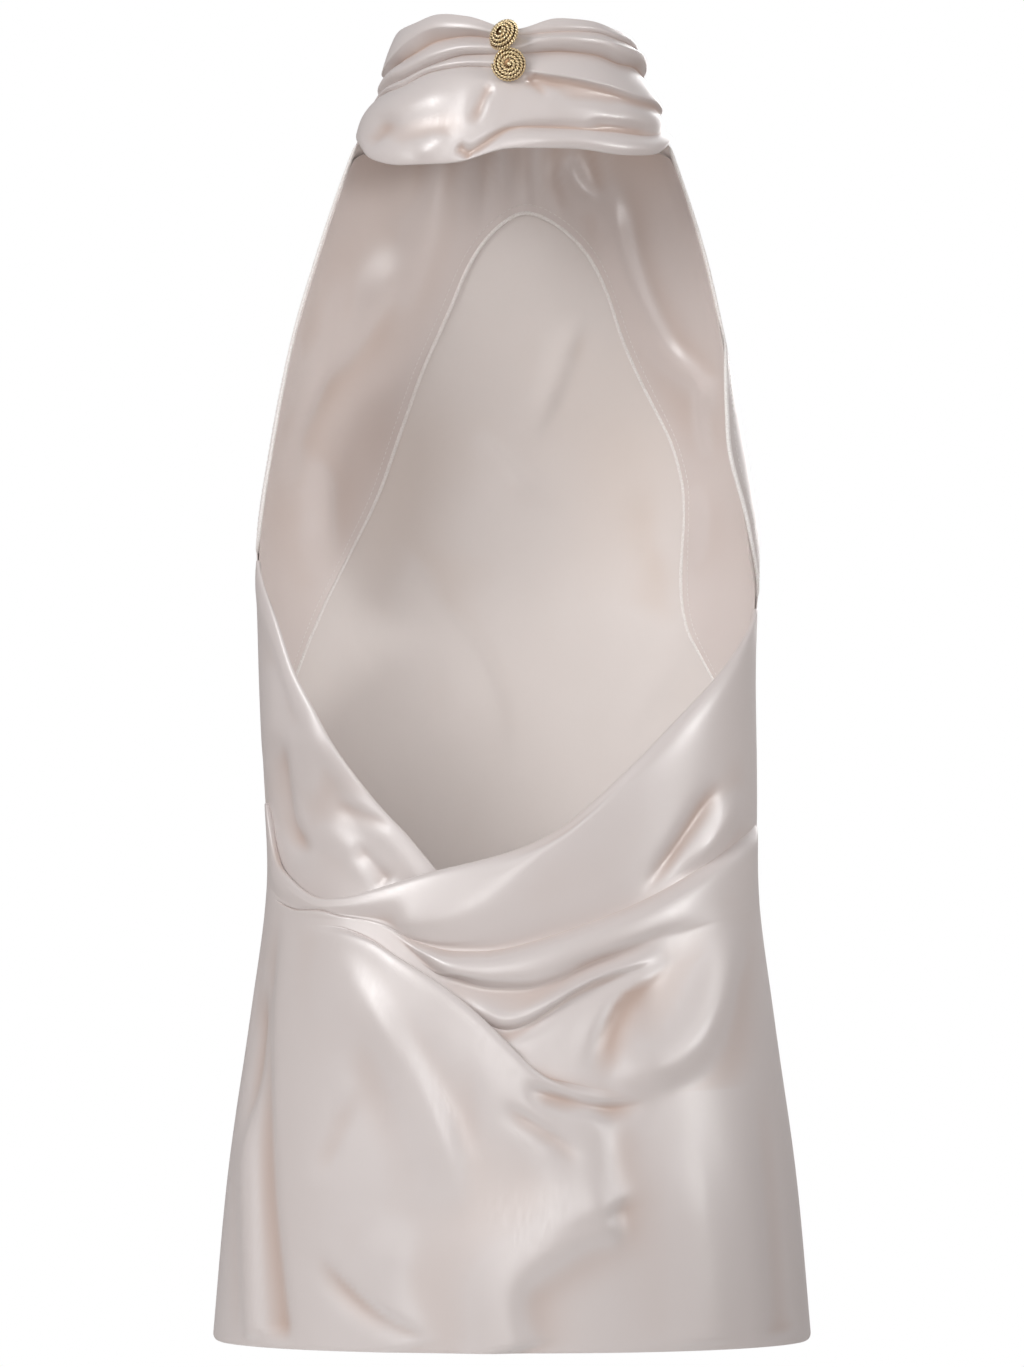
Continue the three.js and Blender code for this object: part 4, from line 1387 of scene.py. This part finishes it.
    def trim(self, finishes: Finishes) -> list[bpy.types.Object]:
        """Build the rolled armhole edges and their rows of topstitching.

        Args:
            finishes: the materials.

        Returns:
            The objects.
        """
        pieces = []
        for side_name, left, low in (("left", True, -272.0), ("right", False, -297.0)):
            path, side, normal = self.edge(left, -34.0, low, 0.9, -0.5)
            roll = tube(path, side, normal, 1.9, 1.15, 14, 6.0)
            path, side, normal = self.edge(left, -40.0, low + 4, 9.0, CLOTH / 2)
            row = Stitching().mesh(path, normal)
            for kind, made in (("roll_", roll), ("stitches_", row)):
                pieces.append(mesh_object("armhole_" + kind + side_name, *made, [finishes.thread]))
        return pieces


@dataclass
class Facing:
    """The facing inside the front: it follows the front, with its own soft folds and a stitched arch."""

    front: Front
    columns: int = 300
    rows: int = 46
    highest: float = 0.6
    stitched: float = 5.0
    folds: tuple[Fold, ...] = (
        Fold(((-66, -84), (-84, -120), (-102, -149), (-121, -169), (-129, -206)), -6.0, 9.0, 15.0, 0.3, 0.3),
        Fold(((-96, -92), (-116, -146), (-131, -200), (-138, -250)), -3.6, 8.0, 9.0, 0.3, 0.3),
        Fold(((-132, -206), (-114, -232), (-114, -262), (-122, -290)), -4.6, 9.0, 14.0, 0.4, 0.4),
        Fold(
            ((57.7, -45), (69, -97), (94.6, -151), (113, -169), (121, -188), (121, -207)),
            -5.4, 6.0, 12.0, 0.2, 0.3,
        ),
        Fold(((122, -164), (114, -190), (117, -218)), -2.8, 4.0, 6.0, 0.3, 0.4),
        Fold(((-44, -48), (-58, -94), (-76, -146)), -2.6, 9.0, 13.0, 0.4, 0.4),
        Fold(((30, -34), (42, -54), (60, -70)), -3.0, 5.0, 9.0, 0.3, 0.4),
        Fold(((106, -226), (110, -252), (108, -280)), -2.6, 6.0, 8.0, 0.4, 0.4),
    )

    def __post_init__(self) -> None:
        """Make the curves of its inner and outer edges along the arch."""
        across, up, degrees, height = np.array(FACING_STATIONS, float).T
        along = np.linspace(0, 1, len(across))
        body = self.front.body
        self.inner_angle = Curve(along, body.angle(across, up, False), 0.012)
        self.inner_height = Curve(along, up, 0.012)
        self.outer_angle = Curve(along, body.from_solid(degrees % 360) - 360 * (degrees < 0), 0.008)
        self.outer_height = Curve(along, height, 0.008)

    def at(self, u: Array, v: Array, out: Array = 0.0) -> Array:
        """A point of the facing along the arch and from its inner edge to its outer one.

        Args:
            u: the share of the way along the arch, from the left side seam.
            v: the share of the way from the arch edge to the armhole or the neck.
            out: how far out from the facing.

        Returns:
            The points.
        """
        degrees = mix(self.inner_angle(u), self.outer_angle(u), v)
        z = mix(self.inner_height(u), self.outer_height(u), v)
        x = self.front.body.point(degrees, z)[..., 0]
        own = np.minimum(laid(self.folds, x, z), self.highest) * smooth((1 - v) * 6)
        return self.front.surface(degrees, z, out + own - FACING_INSET)

    def build(self, finishes: Finishes) -> bpy.types.Object:
        """Build the facing, with its satin side to the inside.

        Args:
            finishes: the materials.

        Returns:
            The object.
        """
        v, u = shares(self.rows, self.columns)
        return Shell(self.at(u, v)).build("facing_cloth", finishes.facing, finishes.facing)

    def trim(self, finishes: Finishes) -> list[bpy.types.Object]:
        """Build the overlocked arch edge and the topstitching beside it.

        Args:
            finishes: the materials.

        Returns:
            The objects.
        """
        u = np.linspace(0.004, 0.996, 600)
        edge = self.at(u, np.full_like(u, 0.0), -0.1)
        beside = self.at(u, np.full_like(u, 0.05), -0.1)
        width = np.linalg.norm(beside - edge, axis=-1) / 0.05
        side = unit(beside - edge)
        normal = unit(np.cross(side, np.gradient(edge, axis=0)))
        normal *= -np.sign(np.sum(normal[..., :2] * edge[..., :2]))
        roll = tube(edge, side, normal, 1.25, 0.85, 10, 3.0)
        row = Stitching().mesh(self.at(u, self.stitched / width, -CLOTH / 2), normal)
        return [
            mesh_object(name, *made, [finishes.thread])
            for name, made in (("facing_edge", roll), ("facing_stitches", row))
        ]


@dataclass
class UnderLayer:
    """The back's left layer: it crosses under the drape, with a turned and rolled upper edge."""

    body: Body
    columns: int = 130
    steps: int = 6
    turned: Points = ((9.0, -1.9), (4.0, -2.0), (1.0, -1.8), (-0.3, -1.0))
    rows: tuple[tuple[float, float], ...] = (
        (0.0, 0.0), (2.5, 0.7), (7.0, 1.3), (13.0, 1.6), (20.0, 1.0), (28.0, 0.2),
    )
    plain_rows: int = 8
    tucked: float = -3.6
    tucked_from: float = -378.0
    tucked_over: float = 34.0
    tucked_at_seam: float = 0.25
    folds: tuple[Fold, ...] = (
        Fold(((-132.5, -372), (-134, -398), (-131, -424), (-117.5, -448)), -4.0, 5.0, 7.0, 0.3, 0.2),
        Fold(((-106, -414), (-85.8, -421.7), (-66, -431)), -1.1, 3.6, 6.0, 0.3, 0.4),
        Fold(((-116, -424), (-96, -440), (-72, -460)), 1.3, 8.0, 9.0, 0.3, 0.3),
        Fold(((-92, -438), (-82, -448), (-70, -462)), -1.6, 4.5, 6.0, 0.3, 0.2),
        Fold(((-139, -330), (-137, -360), (-141, -390)), 1.2, 6.0, 6.0, 0.4, 0.4),
        Fold(((-120, -362), (-114, -392), (-118, -420)), 1.4, 7.0, 8.0, 0.4, 0.3),
    )

    def build(self, finishes: Finishes) -> bpy.types.Object:
        """Build the layer: rows that follow its upper edge, then even ones to its hidden lower edge.

        Args:
            finishes: the materials.

        Returns:
            The object.
        """
        across, top, low = np.array(UNDER_EDGES, float).T
        angles = self.body.angle(across, top, True)
        top_line, low_line = Curve(angles, top, 0.6), Curve(angles, low, 0.6)
        seam = self.body.from_solid(180 + SEAM_DEGREES)
        degrees = np.linspace(seam, angles.max(), self.columns)
        upper, lower = top_line(degrees), low_line(degrees)
        full = upper - lower
        rows = [(upper - drop, np.full_like(upper, out)) for drop, out in self.turned + self.rows]
        start = self.rows[-1][0]
        for k in range(1, self.plain_rows + 1):
            rows.append((mix(upper - start, lower, k / self.plain_rows), np.zeros_like(upper)))
        control = np.array(rows)
        control[:, 0] = np.maximum(control[:, 0], lower[None] + 0.05 * full * (control[:, 0] - lower < 0))
        fine = spline(control, [self.steps] * (len(control) - 1))
        z, out = fine[:, 0], fine[:, 1]
        turned = np.broadcast_to(degrees, z.shape)
        x = self.body.point(turned, z)[..., 0]
        beyond = np.sin(np.radians(turned - 180))
        from_seam = smooth(beyond * 5)
        inside = self.tucked * smooth((self.tucked_from - z) / self.tucked_over)
        inside = inside * mix(self.tucked_at_seam, 1.0, smooth(beyond * 1.6))
        out = np.where(out > -0.5, out * from_seam, out) + inside + from_seam * laid(self.folds, x, z)
        turn_in = SEAM_TURN_IN * np.exp(-((np.arange(self.columns) / 1.6) ** 2))
        middle = self.body.point(turned, z, out + turn_in)
        return Shell(middle).build("under_layer_cloth", finishes.satin, finishes.wrong)


@dataclass
class BackDrape:
    """The back drape: one sheet from its turned-in edge through the cowl folds and the tuck to the hem."""

    body: Body
    columns: int = 172
    clear: float = 1.0
    hidden: float = -1.8
    fall: float = 46.0
    tuck_lift: float = 3.0
    column_even: float = 1.6
    edge_rise: float = 2.2
    edge_fall: float = 60.0
    upper_steps: int = 5
    lower_steps: int = 6
    lower_rows: int = 14
    folds: tuple[Fold, ...] = (
        Fold(((120, -400), (109, -419), (93, -443), (73, -468)), -3.0, 3.8, 6.0, 0.3, 0.4),
        Fold(((133, -402), (120, -430), (100, -456)), 3.0, 7.0, 7.0, 0.35, 0.4),
        Fold(((20, -510.6), (37.5, -505.5), (64, -499), (92, -486)), -2.0, 3.6, 4.4, 0.3, 0.4),
        Fold(
            ((-4, -538), (20.4, -526.5), (50.5, -510.6), (77, -500), (91, -495)),
            3.0, 4.6, 5.5, 0.35, 0.3,
        ),
        Fold(
            ((90, -496), (83.5, -506), (64, -518.3), (50.8, -532.5), (42, -549), (35, -566)),
            2.6, 5.5, 6.5, 0.3, 0.4,
        ),
        Fold(((76, -516), (62, -534), (55, -550), (52, -568)), -2.8, 7.0, 11.0, 0.4, 0.4),
        Fold(((127, -470), (111, -534), (89, -557), (50, -571)), 6.2, 12.0, 12.0, 0.3, 0.25),
        Fold(((6, -572), (33.5, -582), (56, -586), (82, -581)), -3.8, 3.6, 6.0, 0.2, 0.4),
        Fold(
            ((-108, -484), (-90, -512), (-74.4, -536), (-58, -562), (-44, -590), (-34, -616), (-33, -634),
             (-29, -652)),
            3.4, 10.0, 20.0, 0.4, 0.3,
        ),
        Fold(((-7, -582), (22.7, -601), (42, -618)), -2.0, 3.6, 6.0, 0.3, 0.5),
        Fold(((22, -574), (44, -592), (50, -618), (62, -645)), 2.6, 9.0, 22.0, 0.3, 0.15),
        Fold(
            ((66, -644), (39.2, -653.5), (11.9, -669.4), (-1.1, -683), (-4, -697), (1, -723)),
            5.0, 13.0, 26.0, 0.15, 0.05,
        ),
        Fold(((-144.8, -512), (-147.7, -561.4), (-155.6, -622)), -3.6, 3.2, 4.4, 0.3, 0.3),
        Fold(((-134, -470), (-142, -540), (-139.2, -621), (-128.4, -722)), -3.4, 5.0, 9.0, 0.2, 0.05),
        Fold(((-152, -560), (-150, -640), (-146, -722)), 3.4, 5.0, 6.0, 0.3, 0.05),
        Fold(((-88, -572), (-100, -604), (-112.5, -634)), -1.2, 6.0, 9.0, 0.4, 0.4),
        Fold(((-116, -664), (-88, -692), (-72, -703), (-46, -717)), -2.0, 3.4, 9.0, 0.4, 0.2),
        Fold(((96, -600), (106, -660), (108, -722)), 2.2, 18.0, 20.0, 0.4, 0.05),
        Fold(((140, -560), (150, -640), (155, -722)), -2.4, 8.0, 10.0, 0.4, 0.05),
        Fold(((-60, -640), (-70, -680), (-60, -722)), 1.8, 12.0, 14.0, 0.4, 0.05),
    )

    def __post_init__(self) -> None:
        """Make the curves of the lines, the tuck and the hem."""
        self.lines = {name: self.body.line(points, 1.0) for name, points in DRAPE_LINES.items()}
        across, z, lap, height = np.array(TUCK, float).T
        angles = self.body.angle(across, z, True)
        self.tuck = Curve(angles, z, 1.2)
        self.lap = Curve(angles, lap, 1.2)
        self.height = Curve(angles, height, 1.2)

    def control(self, degrees: Array) -> Array:
        """The control rows: heights and reliefs above the tuck, through it and down to the hem.

        Args:
            degrees: the angle of each column.

        Returns:
            Rows by two by columns of height and relief, after sharp rows are set twice.
        """
        side = smooth(np.sin(np.radians(degrees - 180)) * 2.2)
        x = self.body.point(degrees, self.lines["edge"](degrees))[..., 0]
        left = smooth((5 - x) / 100)
        broad, short = smooth((x - 15) / 110), smooth((x - 28) / 52)
        line, lap, height = self.tuck(degrees) + self.tuck_lift, self.lap(degrees), self.height(degrees)
        end = line - lap
        hidden = self.hidden * smooth(lap / 3)
        edge = self.lines["edge"](degrees)
        count = len(DRAPE_ROWS)
        gap = edge - end
        clear = np.minimum(self.clear, 0.55 * gap / count)
        above = np.full_like(degrees, 1e9)
        part = np.minimum(1, gap / 30)
        rows = [(edge - drop * part, np.full_like(degrees, out)) for drop, out in TURNED_EDGE]
        for k, (name, after, share, drop, at_left, at_mid, at_right, sharp) in enumerate(DRAPE_ROWS):
            wanted = mix(self.lines[name](degrees), self.lines[after](degrees), share) - drop
            least = end + (count - k) * clear
            z = np.maximum(np.minimum(wanted, above - clear), least)
            above = z
            right = short if name in ("second", "third") else broad
            out = at_mid + (at_left - at_mid) * left + (at_right - at_mid) * right
            shown = smooth((wanted - least) / 4)
            out = side * clear / self.clear * mix(hidden, out, shown)
            rows += [(z, out)] * (2 if sharp else 1)
        for step, share, lift in TUCK_PATH:
            under = hidden * (1 - min(lift * 1.6, 1.0))
            rows.append((line - step - share * lap, side * (under + lift * height)))
        last_step, last_share, last_lift = TUCK_PATH[-1]
        start = line - last_step - last_share * lap
        hem = self.body.hem(degrees)
        for k in range(1, self.lower_rows + 1):
            z = mix(start, hem, k / self.lower_rows)
            rows.append((z, side * last_lift * height * np.exp(-(((start - z) / self.fall) ** 2))))
        return evened(np.array(rows), self.column_even)

    def build(self, finishes: Finishes) -> bpy.types.Object:
        """Build the sheet: a B-spline runs down through the control rows, and the soft folds are added.

        Args:
            finishes: the materials.

        Returns:
            The object.
        """
        seam = self.body.from_solid(np.array([180 + SEAM_DEGREES, 360 - SEAM_DEGREES]))
        degrees = np.linspace(*seam, self.columns)
        control = self.control(degrees)
        upper = len(control) - self.lower_rows - 1
        fine = spline(control, [self.upper_steps] * upper + [self.lower_steps] * self.lower_rows)
        z, out = fine[:, 0], fine[:, 1]
        turned = np.broadcast_to(degrees, z.shape)
        x = self.body.point(turned, z)[..., 0]
        side = smooth(np.sin(np.radians(turned - 180)) * 5)
        near_top = np.exp(-np.maximum(0, self.lines["edge"](turned) - z) / self.edge_fall)
        rise = self.edge_rise * near_top * (1 - smooth((x - 40) / 80))
        rise = rise * mix(0.25, 1.0, smooth((x + 135) / 30))
        box, lean = ((-120, -560), (110, -480)), ((-20, -170), (30, -90))
        relief = laid(self.folds + creased(11, 16, box, lean, 0.5, ((7, 7), (14, 14))), x, z)
        below = np.arange(len(z)) > self.upper_steps * len(TURNED_EDGE)
        relief = relief * below[:, None]
        from_side = np.minimum(np.arange(self.columns), np.arange(self.columns)[::-1])
        turn_in = SEAM_TURN_IN * np.exp(-((from_side / 1.2) ** 2))
        middle = self.body.point(turned, z, out + side * (rise + relief) + turn_in)
        return Shell(middle).build("drape_cloth", finishes.satin, finishes.wrong)


@dataclass
class RopeButton:
    """A domed shank button with a twisted rope laid on it in a spiral round a middle bead."""

    name: str
    place: tuple[float, float, float]
    facing: tuple[float, float, float]
    shank: float
    rope: float = 0.56
    spread: float = 0.6
    twist: float = 3.6
    turns: float = 3.75
    across: float = 8.7
    rise: float = 4.5
    foot: float = 0.6
    lift: float = 0.4
    around: int = 72
    rope_around: int = 8
    bead_across: float = 1.35
    bead_rise: float = 1.2
    bead_around: int = 28

    def dome(self, radius: Array) -> Array:
        """The dome's height at a radius: a low ellipse.

        Args:
            radius: the distance from the axis.

        Returns:
            The height over the button's foot.
        """
        return self.foot + self.rise * np.sqrt(np.maximum(0.0, 1 - (radius / self.across) ** 2))

    def frame(self) -> tuple[Array, Array, Array]:
        """The button's own three unit directions, the last along its axis."""
        axis = unit(np.array(self.facing))
        first = unit(np.cross(axis, UP))
        return first, np.cross(axis, first), axis

    def placed(self, local: Array) -> Array:
        """Move points from the button's own frame to the top's.

        Args:
            local: points with the axis last.

        Returns:
            The points in place.
        """
        return np.asarray(self.place) + local @ np.stack(self.frame())

    def turned(self) -> tuple[Array, list[list[int]], Array]:
        """The shank, the back and the dome: a profile carried round the axis.

        Returns:
            Points, faces and the relief of each point.
        """
        rim = [(1.7, -self.shank), (1.9, -0.3), (2.6, 0.0), (7.0, 0.0), (8.1, 0.25)]
        turn_up = np.radians(np.linspace(8, 87, 18))
        dome = np.stack([self.across * np.cos(turn_up), self.foot + self.rise * np.sin(turn_up)], axis=-1)
        profile = np.concatenate([np.array(rim), dome])
        points, faces = lathe(profile, self.around, -self.shank, self.dome(0.0))
        relief = np.repeat(np.where(np.arange(len(profile)) < len(rim), 0.6, 0.1), self.around)
        return points, faces, np.concatenate([relief, [0.4, 0.4]])

    def strands(self) -> list[tuple[Array, list[list[int]], Array]]:
        """The rope: two strands that wind round a spiral path.

        The path climbs the dome by equal steps of its arc. A strand's middle is the path plus its turning
        offset, the cosine along the side and the sine up.

        Returns:
            Points, faces and relief of each strand.
        """
        climb = np.radians(np.linspace(4, 76, 300))
        arc = np.hypot(np.gradient(self.across * np.cos(climb)), np.gradient(self.rise * np.sin(climb)))
        arc = np.cumsum(arc) - arc[0]
        share = np.linspace(0, 1, 1300)
        climbed = np.interp(share * arc[-1], arc, climb)
        turn = 2 * math.pi * self.turns * share
        ring = np.stack([np.cos(turn), np.sin(turn), np.zeros_like(turn)], axis=-1)
        height = np.array(UP)
        level, steep = np.cos(climbed)[:, None], np.sin(climbed)[:, None]
        side = unit(self.across * steep * ring - self.rise * level * height)
        up = unit(self.rise * level * ring + self.across * steep * height)
        path = self.across * level * ring + (self.foot + self.rise * steep) * height + self.lift * up
        along = np.concatenate([[0], np.cumsum(np.linalg.norm(np.diff(path, axis=0), axis=1))])
        made = []
        for k in range(2):
            phase = 2 * math.pi * (along / self.twist + k / 2)
            offset = side * np.cos(phase)[:, None] + up * np.sin(phase)[:, None]
            middle = path + offset * self.spread
            way = unit(np.gradient(middle, axis=0))
            first = unit(np.cross(way, up))
            n = self.rope_around
            points, faces = tube(middle, first, np.cross(way, first), self.rope, self.rope, n, 1.2)
            depth = np.sum((points[:-2] - np.repeat(path, n, axis=0)) * np.repeat(up, n, axis=0), axis=-1)
            relief = np.clip(depth / (self.rope + self.spread) * 1.3 - 0.15, 0, 1)
            made.append((points, faces, np.concatenate([relief, [0.2, 0.2]])))
        return made

    def bead(self) -> tuple[Array, list[list[int]], Array]:
        """The middle bead: a low half ball.

        Returns:
            Points, faces and relief.
        """
        rise = np.radians(np.linspace(-30, 78, 9))
        top = self.dome(0.0)
        profile = np.stack([self.bead_across * np.cos(rise), self.bead_rise * np.sin(rise) + top], axis=-1)
        points, faces = lathe(profile, self.bead_around, profile[0, 1], top + self.bead_rise)
        return points, faces, np.full(len(points), 0.85)

    def build(self, finishes: Finishes) -> bpy.types.Object:
        """Build the button and write its relief attribute.

        Args:
            finishes: the materials.

        Returns:
            The object.
        """
        parts = [self.turned(), *self.strands(), self.bead()]
        points, faces = joined([(p, f) for p, f, _ in parts])
        piece = mesh_object(self.name, self.placed(points), faces, [finishes.gold])
        layer = piece.data.attributes.new("relief", "FLOAT", "POINT")
        layer.data.foreach_set("value", np.concatenate([r for _, _, r in parts]).astype(np.float32))
        return piece


@dataclass(frozen=True)
class Studio:
    """The pale floor, the soft lights, the white surround and the photograph's camera."""

    distance: float = 3.4
    aim: float = -0.347
    shown_height: float = 0.793
    sensor: float = 36.0
    floor_radius: float = 1.15
    floor_height: float = -1.1
    floor_around: int = 96
    surround_strength: float = 0.44
    low_tone: tuple[float, float, float] = (0.42, 0.32, 0.27)
    high_tone: tuple[float, float, float] = (0.93, 0.93, 0.95)

    def camera(self) -> None:
        """Put the camera level behind the top, as far off and as narrow as the photograph's."""
        data = bpy.data.cameras.new("camera")
        data.sensor_width = self.sensor
        data.lens = self.distance / self.shown_height * self.sensor
        data.clip_end = 50
        camera = bpy.data.objects.new("camera", data)
        camera.location = (0, -self.distance, self.aim)
        camera.rotation_euler = (math.radians(90), 0, 0)
        bpy.context.scene.collection.objects.link(camera)
        bpy.context.scene.camera = camera

    def light(self, name: str, place: tuple, size: tuple, watts: float) -> None:
        """Put an area light that faces the top's middle.

        Args:
            name: its name.
            place: where it stands, in metres.
            size: its width and height.
            watts: its power.
        """
        data = bpy.data.lights.new(name, "AREA")
        data.shape = "RECTANGLE"
        data.size, data.size_y = size
        data.energy = watts
        self.aimed(name, data, place, (0, 0, self.aim))

    def spot(
        self, name: str, place: tuple, target: tuple, cone: float, radius: float, watts: float
    ) -> None:
        """Put a soft spotlight on one part of the top.

        Args:
            name: its name.
            place: where it stands, in metres.
            target: where it points.
            cone: the full angle of its cone, in degrees.
            radius: the radius of its lamp.
            watts: its power.
        """
        data = bpy.data.lights.new(name, "SPOT")
        data.spot_size = math.radians(cone)
        data.spot_blend = 1.0
        data.shadow_soft_size = radius
        data.energy = watts
        self.aimed(name, data, place, target)

    def aimed(self, name: str, data: bpy.types.Light, place: tuple, target: tuple) -> None:
        """Link a light and turn it to its target.

        Args:
            name: its name.
            data: the light.
            place: where it stands.
            target: where it points.
        """
        light = bpy.data.objects.new(name, data)
        light.location = place
        light.rotation_euler = (Vector(target) - Vector(place)).to_track_quat("-Z", "Y").to_euler()
        bpy.context.scene.collection.objects.link(light)

    def surround(self) -> None:
        """White to the camera, and a weaker soft light on the cloth."""
        world = bpy.data.worlds.new("surround")
        world.use_nodes = True
        bpy.context.scene.world = world
        nodes, links = world.node_tree.nodes, world.node_tree.links
        soft = nodes["Background"]
        soft.inputs["Strength"].default_value = self.surround_strength
        place = nodes.new("ShaderNodeTexCoord")
        split = nodes.new("ShaderNodeSeparateXYZ")
        level = nodes.new("ShaderNodeMapRange")
        level.inputs["From Min"].default_value = -0.5
        level.inputs["From Max"].default_value = 0.7
        shades = nodes.new("ShaderNodeMix")
        shades.data_type = "RGBA"
        shades.inputs[6].default_value = (*self.low_tone, 1)
        shades.inputs[7].default_value = (*self.high_tone, 1)
        links.new(place.outputs["Generated"], split.inputs[0])
        links.new(split.outputs["Z"], level.inputs["Value"])
        links.new(level.outputs[0], shades.inputs[0])
        links.new(shades.outputs[2], soft.inputs["Color"])
        white = nodes.new("ShaderNodeBackground")
        white.inputs["Color"].default_value = (1, 1, 1, 1)
        white.inputs["Strength"].default_value = 1.0
        seen = nodes.new("ShaderNodeLightPath")
        both = nodes.new("ShaderNodeMixShader")
        links.new(seen.outputs["Is Camera Ray"], both.inputs[0])
        links.new(soft.outputs[0], both.inputs[1])
        links.new(white.outputs[0], both.inputs[2])
        links.new(both.outputs[0], nodes["World Output"].inputs["Surface"])

    def floor(self) -> None:
        """A plain pale disc well below the hem: rings of points that turn down at the rim."""
        around = self.floor_around
        turn = np.linspace(0, 2 * math.pi, around, endpoint=False)
        radii = np.array([0.02, 0.4, 0.8, 1.1, 1.14, 1.15]) * self.floor_radius / 1.15
        height = self.floor_height - np.array([0, 0, 0, 0, 0.004, 0.02])
        level = [np.outer(radii, way) for way in (np.cos(turn), np.sin(turn))]
        points = np.stack([*level, np.outer(height, np.ones(around))], axis=-1).reshape(-1, 3)
        faces = grid_faces(len(radii), around, True)[:, ::-1].tolist() + [list(range(around))]
        tree = Tree("floor")
        tree.set(tree.shader, "Base Color", (0.86, 0.86, 0.855, 1))
        tree.set(tree.shader, "Roughness", 0.8)
        mesh_object("floor", points / MM, faces, [tree.material])

    def build(self) -> None:
        """Set up everything that isn't part of the top."""
        self.camera()
        self.surround()
        self.light("key", (-2.1, -2.2, 1.2), (1.3, 1.5), 54)
        self.light("right", (2.4, -1.9, 0.5), (0.8, 1.8), 12)
        self.light("front", (-0.3, -3.6, 0.1), (1.2, 1.4), 22)
        self.spot("through_back", (2.75, -1.4, 0.05), (-0.11, 0.05, -0.2), 8.5, 0.42, 470)
        self.light("behind", (0.9, 3.0, 0.7), (1.8, 1.8), 46)
        self.floor()
        bpy.context.scene.view_settings.view_transform = "Standard"


def carry(piece: bpy.types.Object, slot: Slot, *nodes: str) -> bpy.types.Object:
    """Let a piece ride on the part and stand for nodes of the solids.

    Args:
        piece: the piece.
        slot: its material slot; not used.
        nodes: the nodes that it stands for.

    Returns:
        The piece.
    """
    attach(piece, "root")
    if nodes:
        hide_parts(*nodes)
    LOG.info("%s: %d faces for %s", piece.name, len(piece.data.polygons), ", ".join(nodes) or "trim")
    return piece


def main() -> None:
    logging.basicConfig(level=logging.INFO, format="%(message)s")
    Studio().build()
    finishes = Finishes()
    body = Body()
    collar = Collar(body)
    front = Front(body, collar)
    facing = Facing(front)
    collar_cloth = carry(collar.build(finishes), Slot.SATIN, "collar")
    front_cloth = carry(front.build(finishes), Slot.SATIN, "front")
    front_trim = [carry(piece, Slot.SATIN) for piece in front.trim(finishes)]
    facing_cloth = carry(facing.build(finishes), Slot.FACING, "front_facing")
    facing_trim = [carry(piece, Slot.FACING) for piece in facing.trim(finishes)]
    under_cloth = carry(UnderLayer(body).build(finishes), Slot.SATIN, "back_under_layer")
    drape_cloth = carry(BackDrape(body).build(finishes), Slot.SATIN, "back_drape")
    upper = RopeButton("rope_button_upper", (-3.6, -71.6, 20.6), (-0.72, -1, 0.54), 6.2)
    lower = RopeButton("rope_button_lower", (-1.9, -71.8, 5.0), (0.05, -1, -0.13), 2.9)
    carry(upper.build(finishes), Slot.METAL, "button_upper")
    carry(lower.build(finishes), Slot.METAL, "button_lower")


if __name__ == "__main__":
    main()
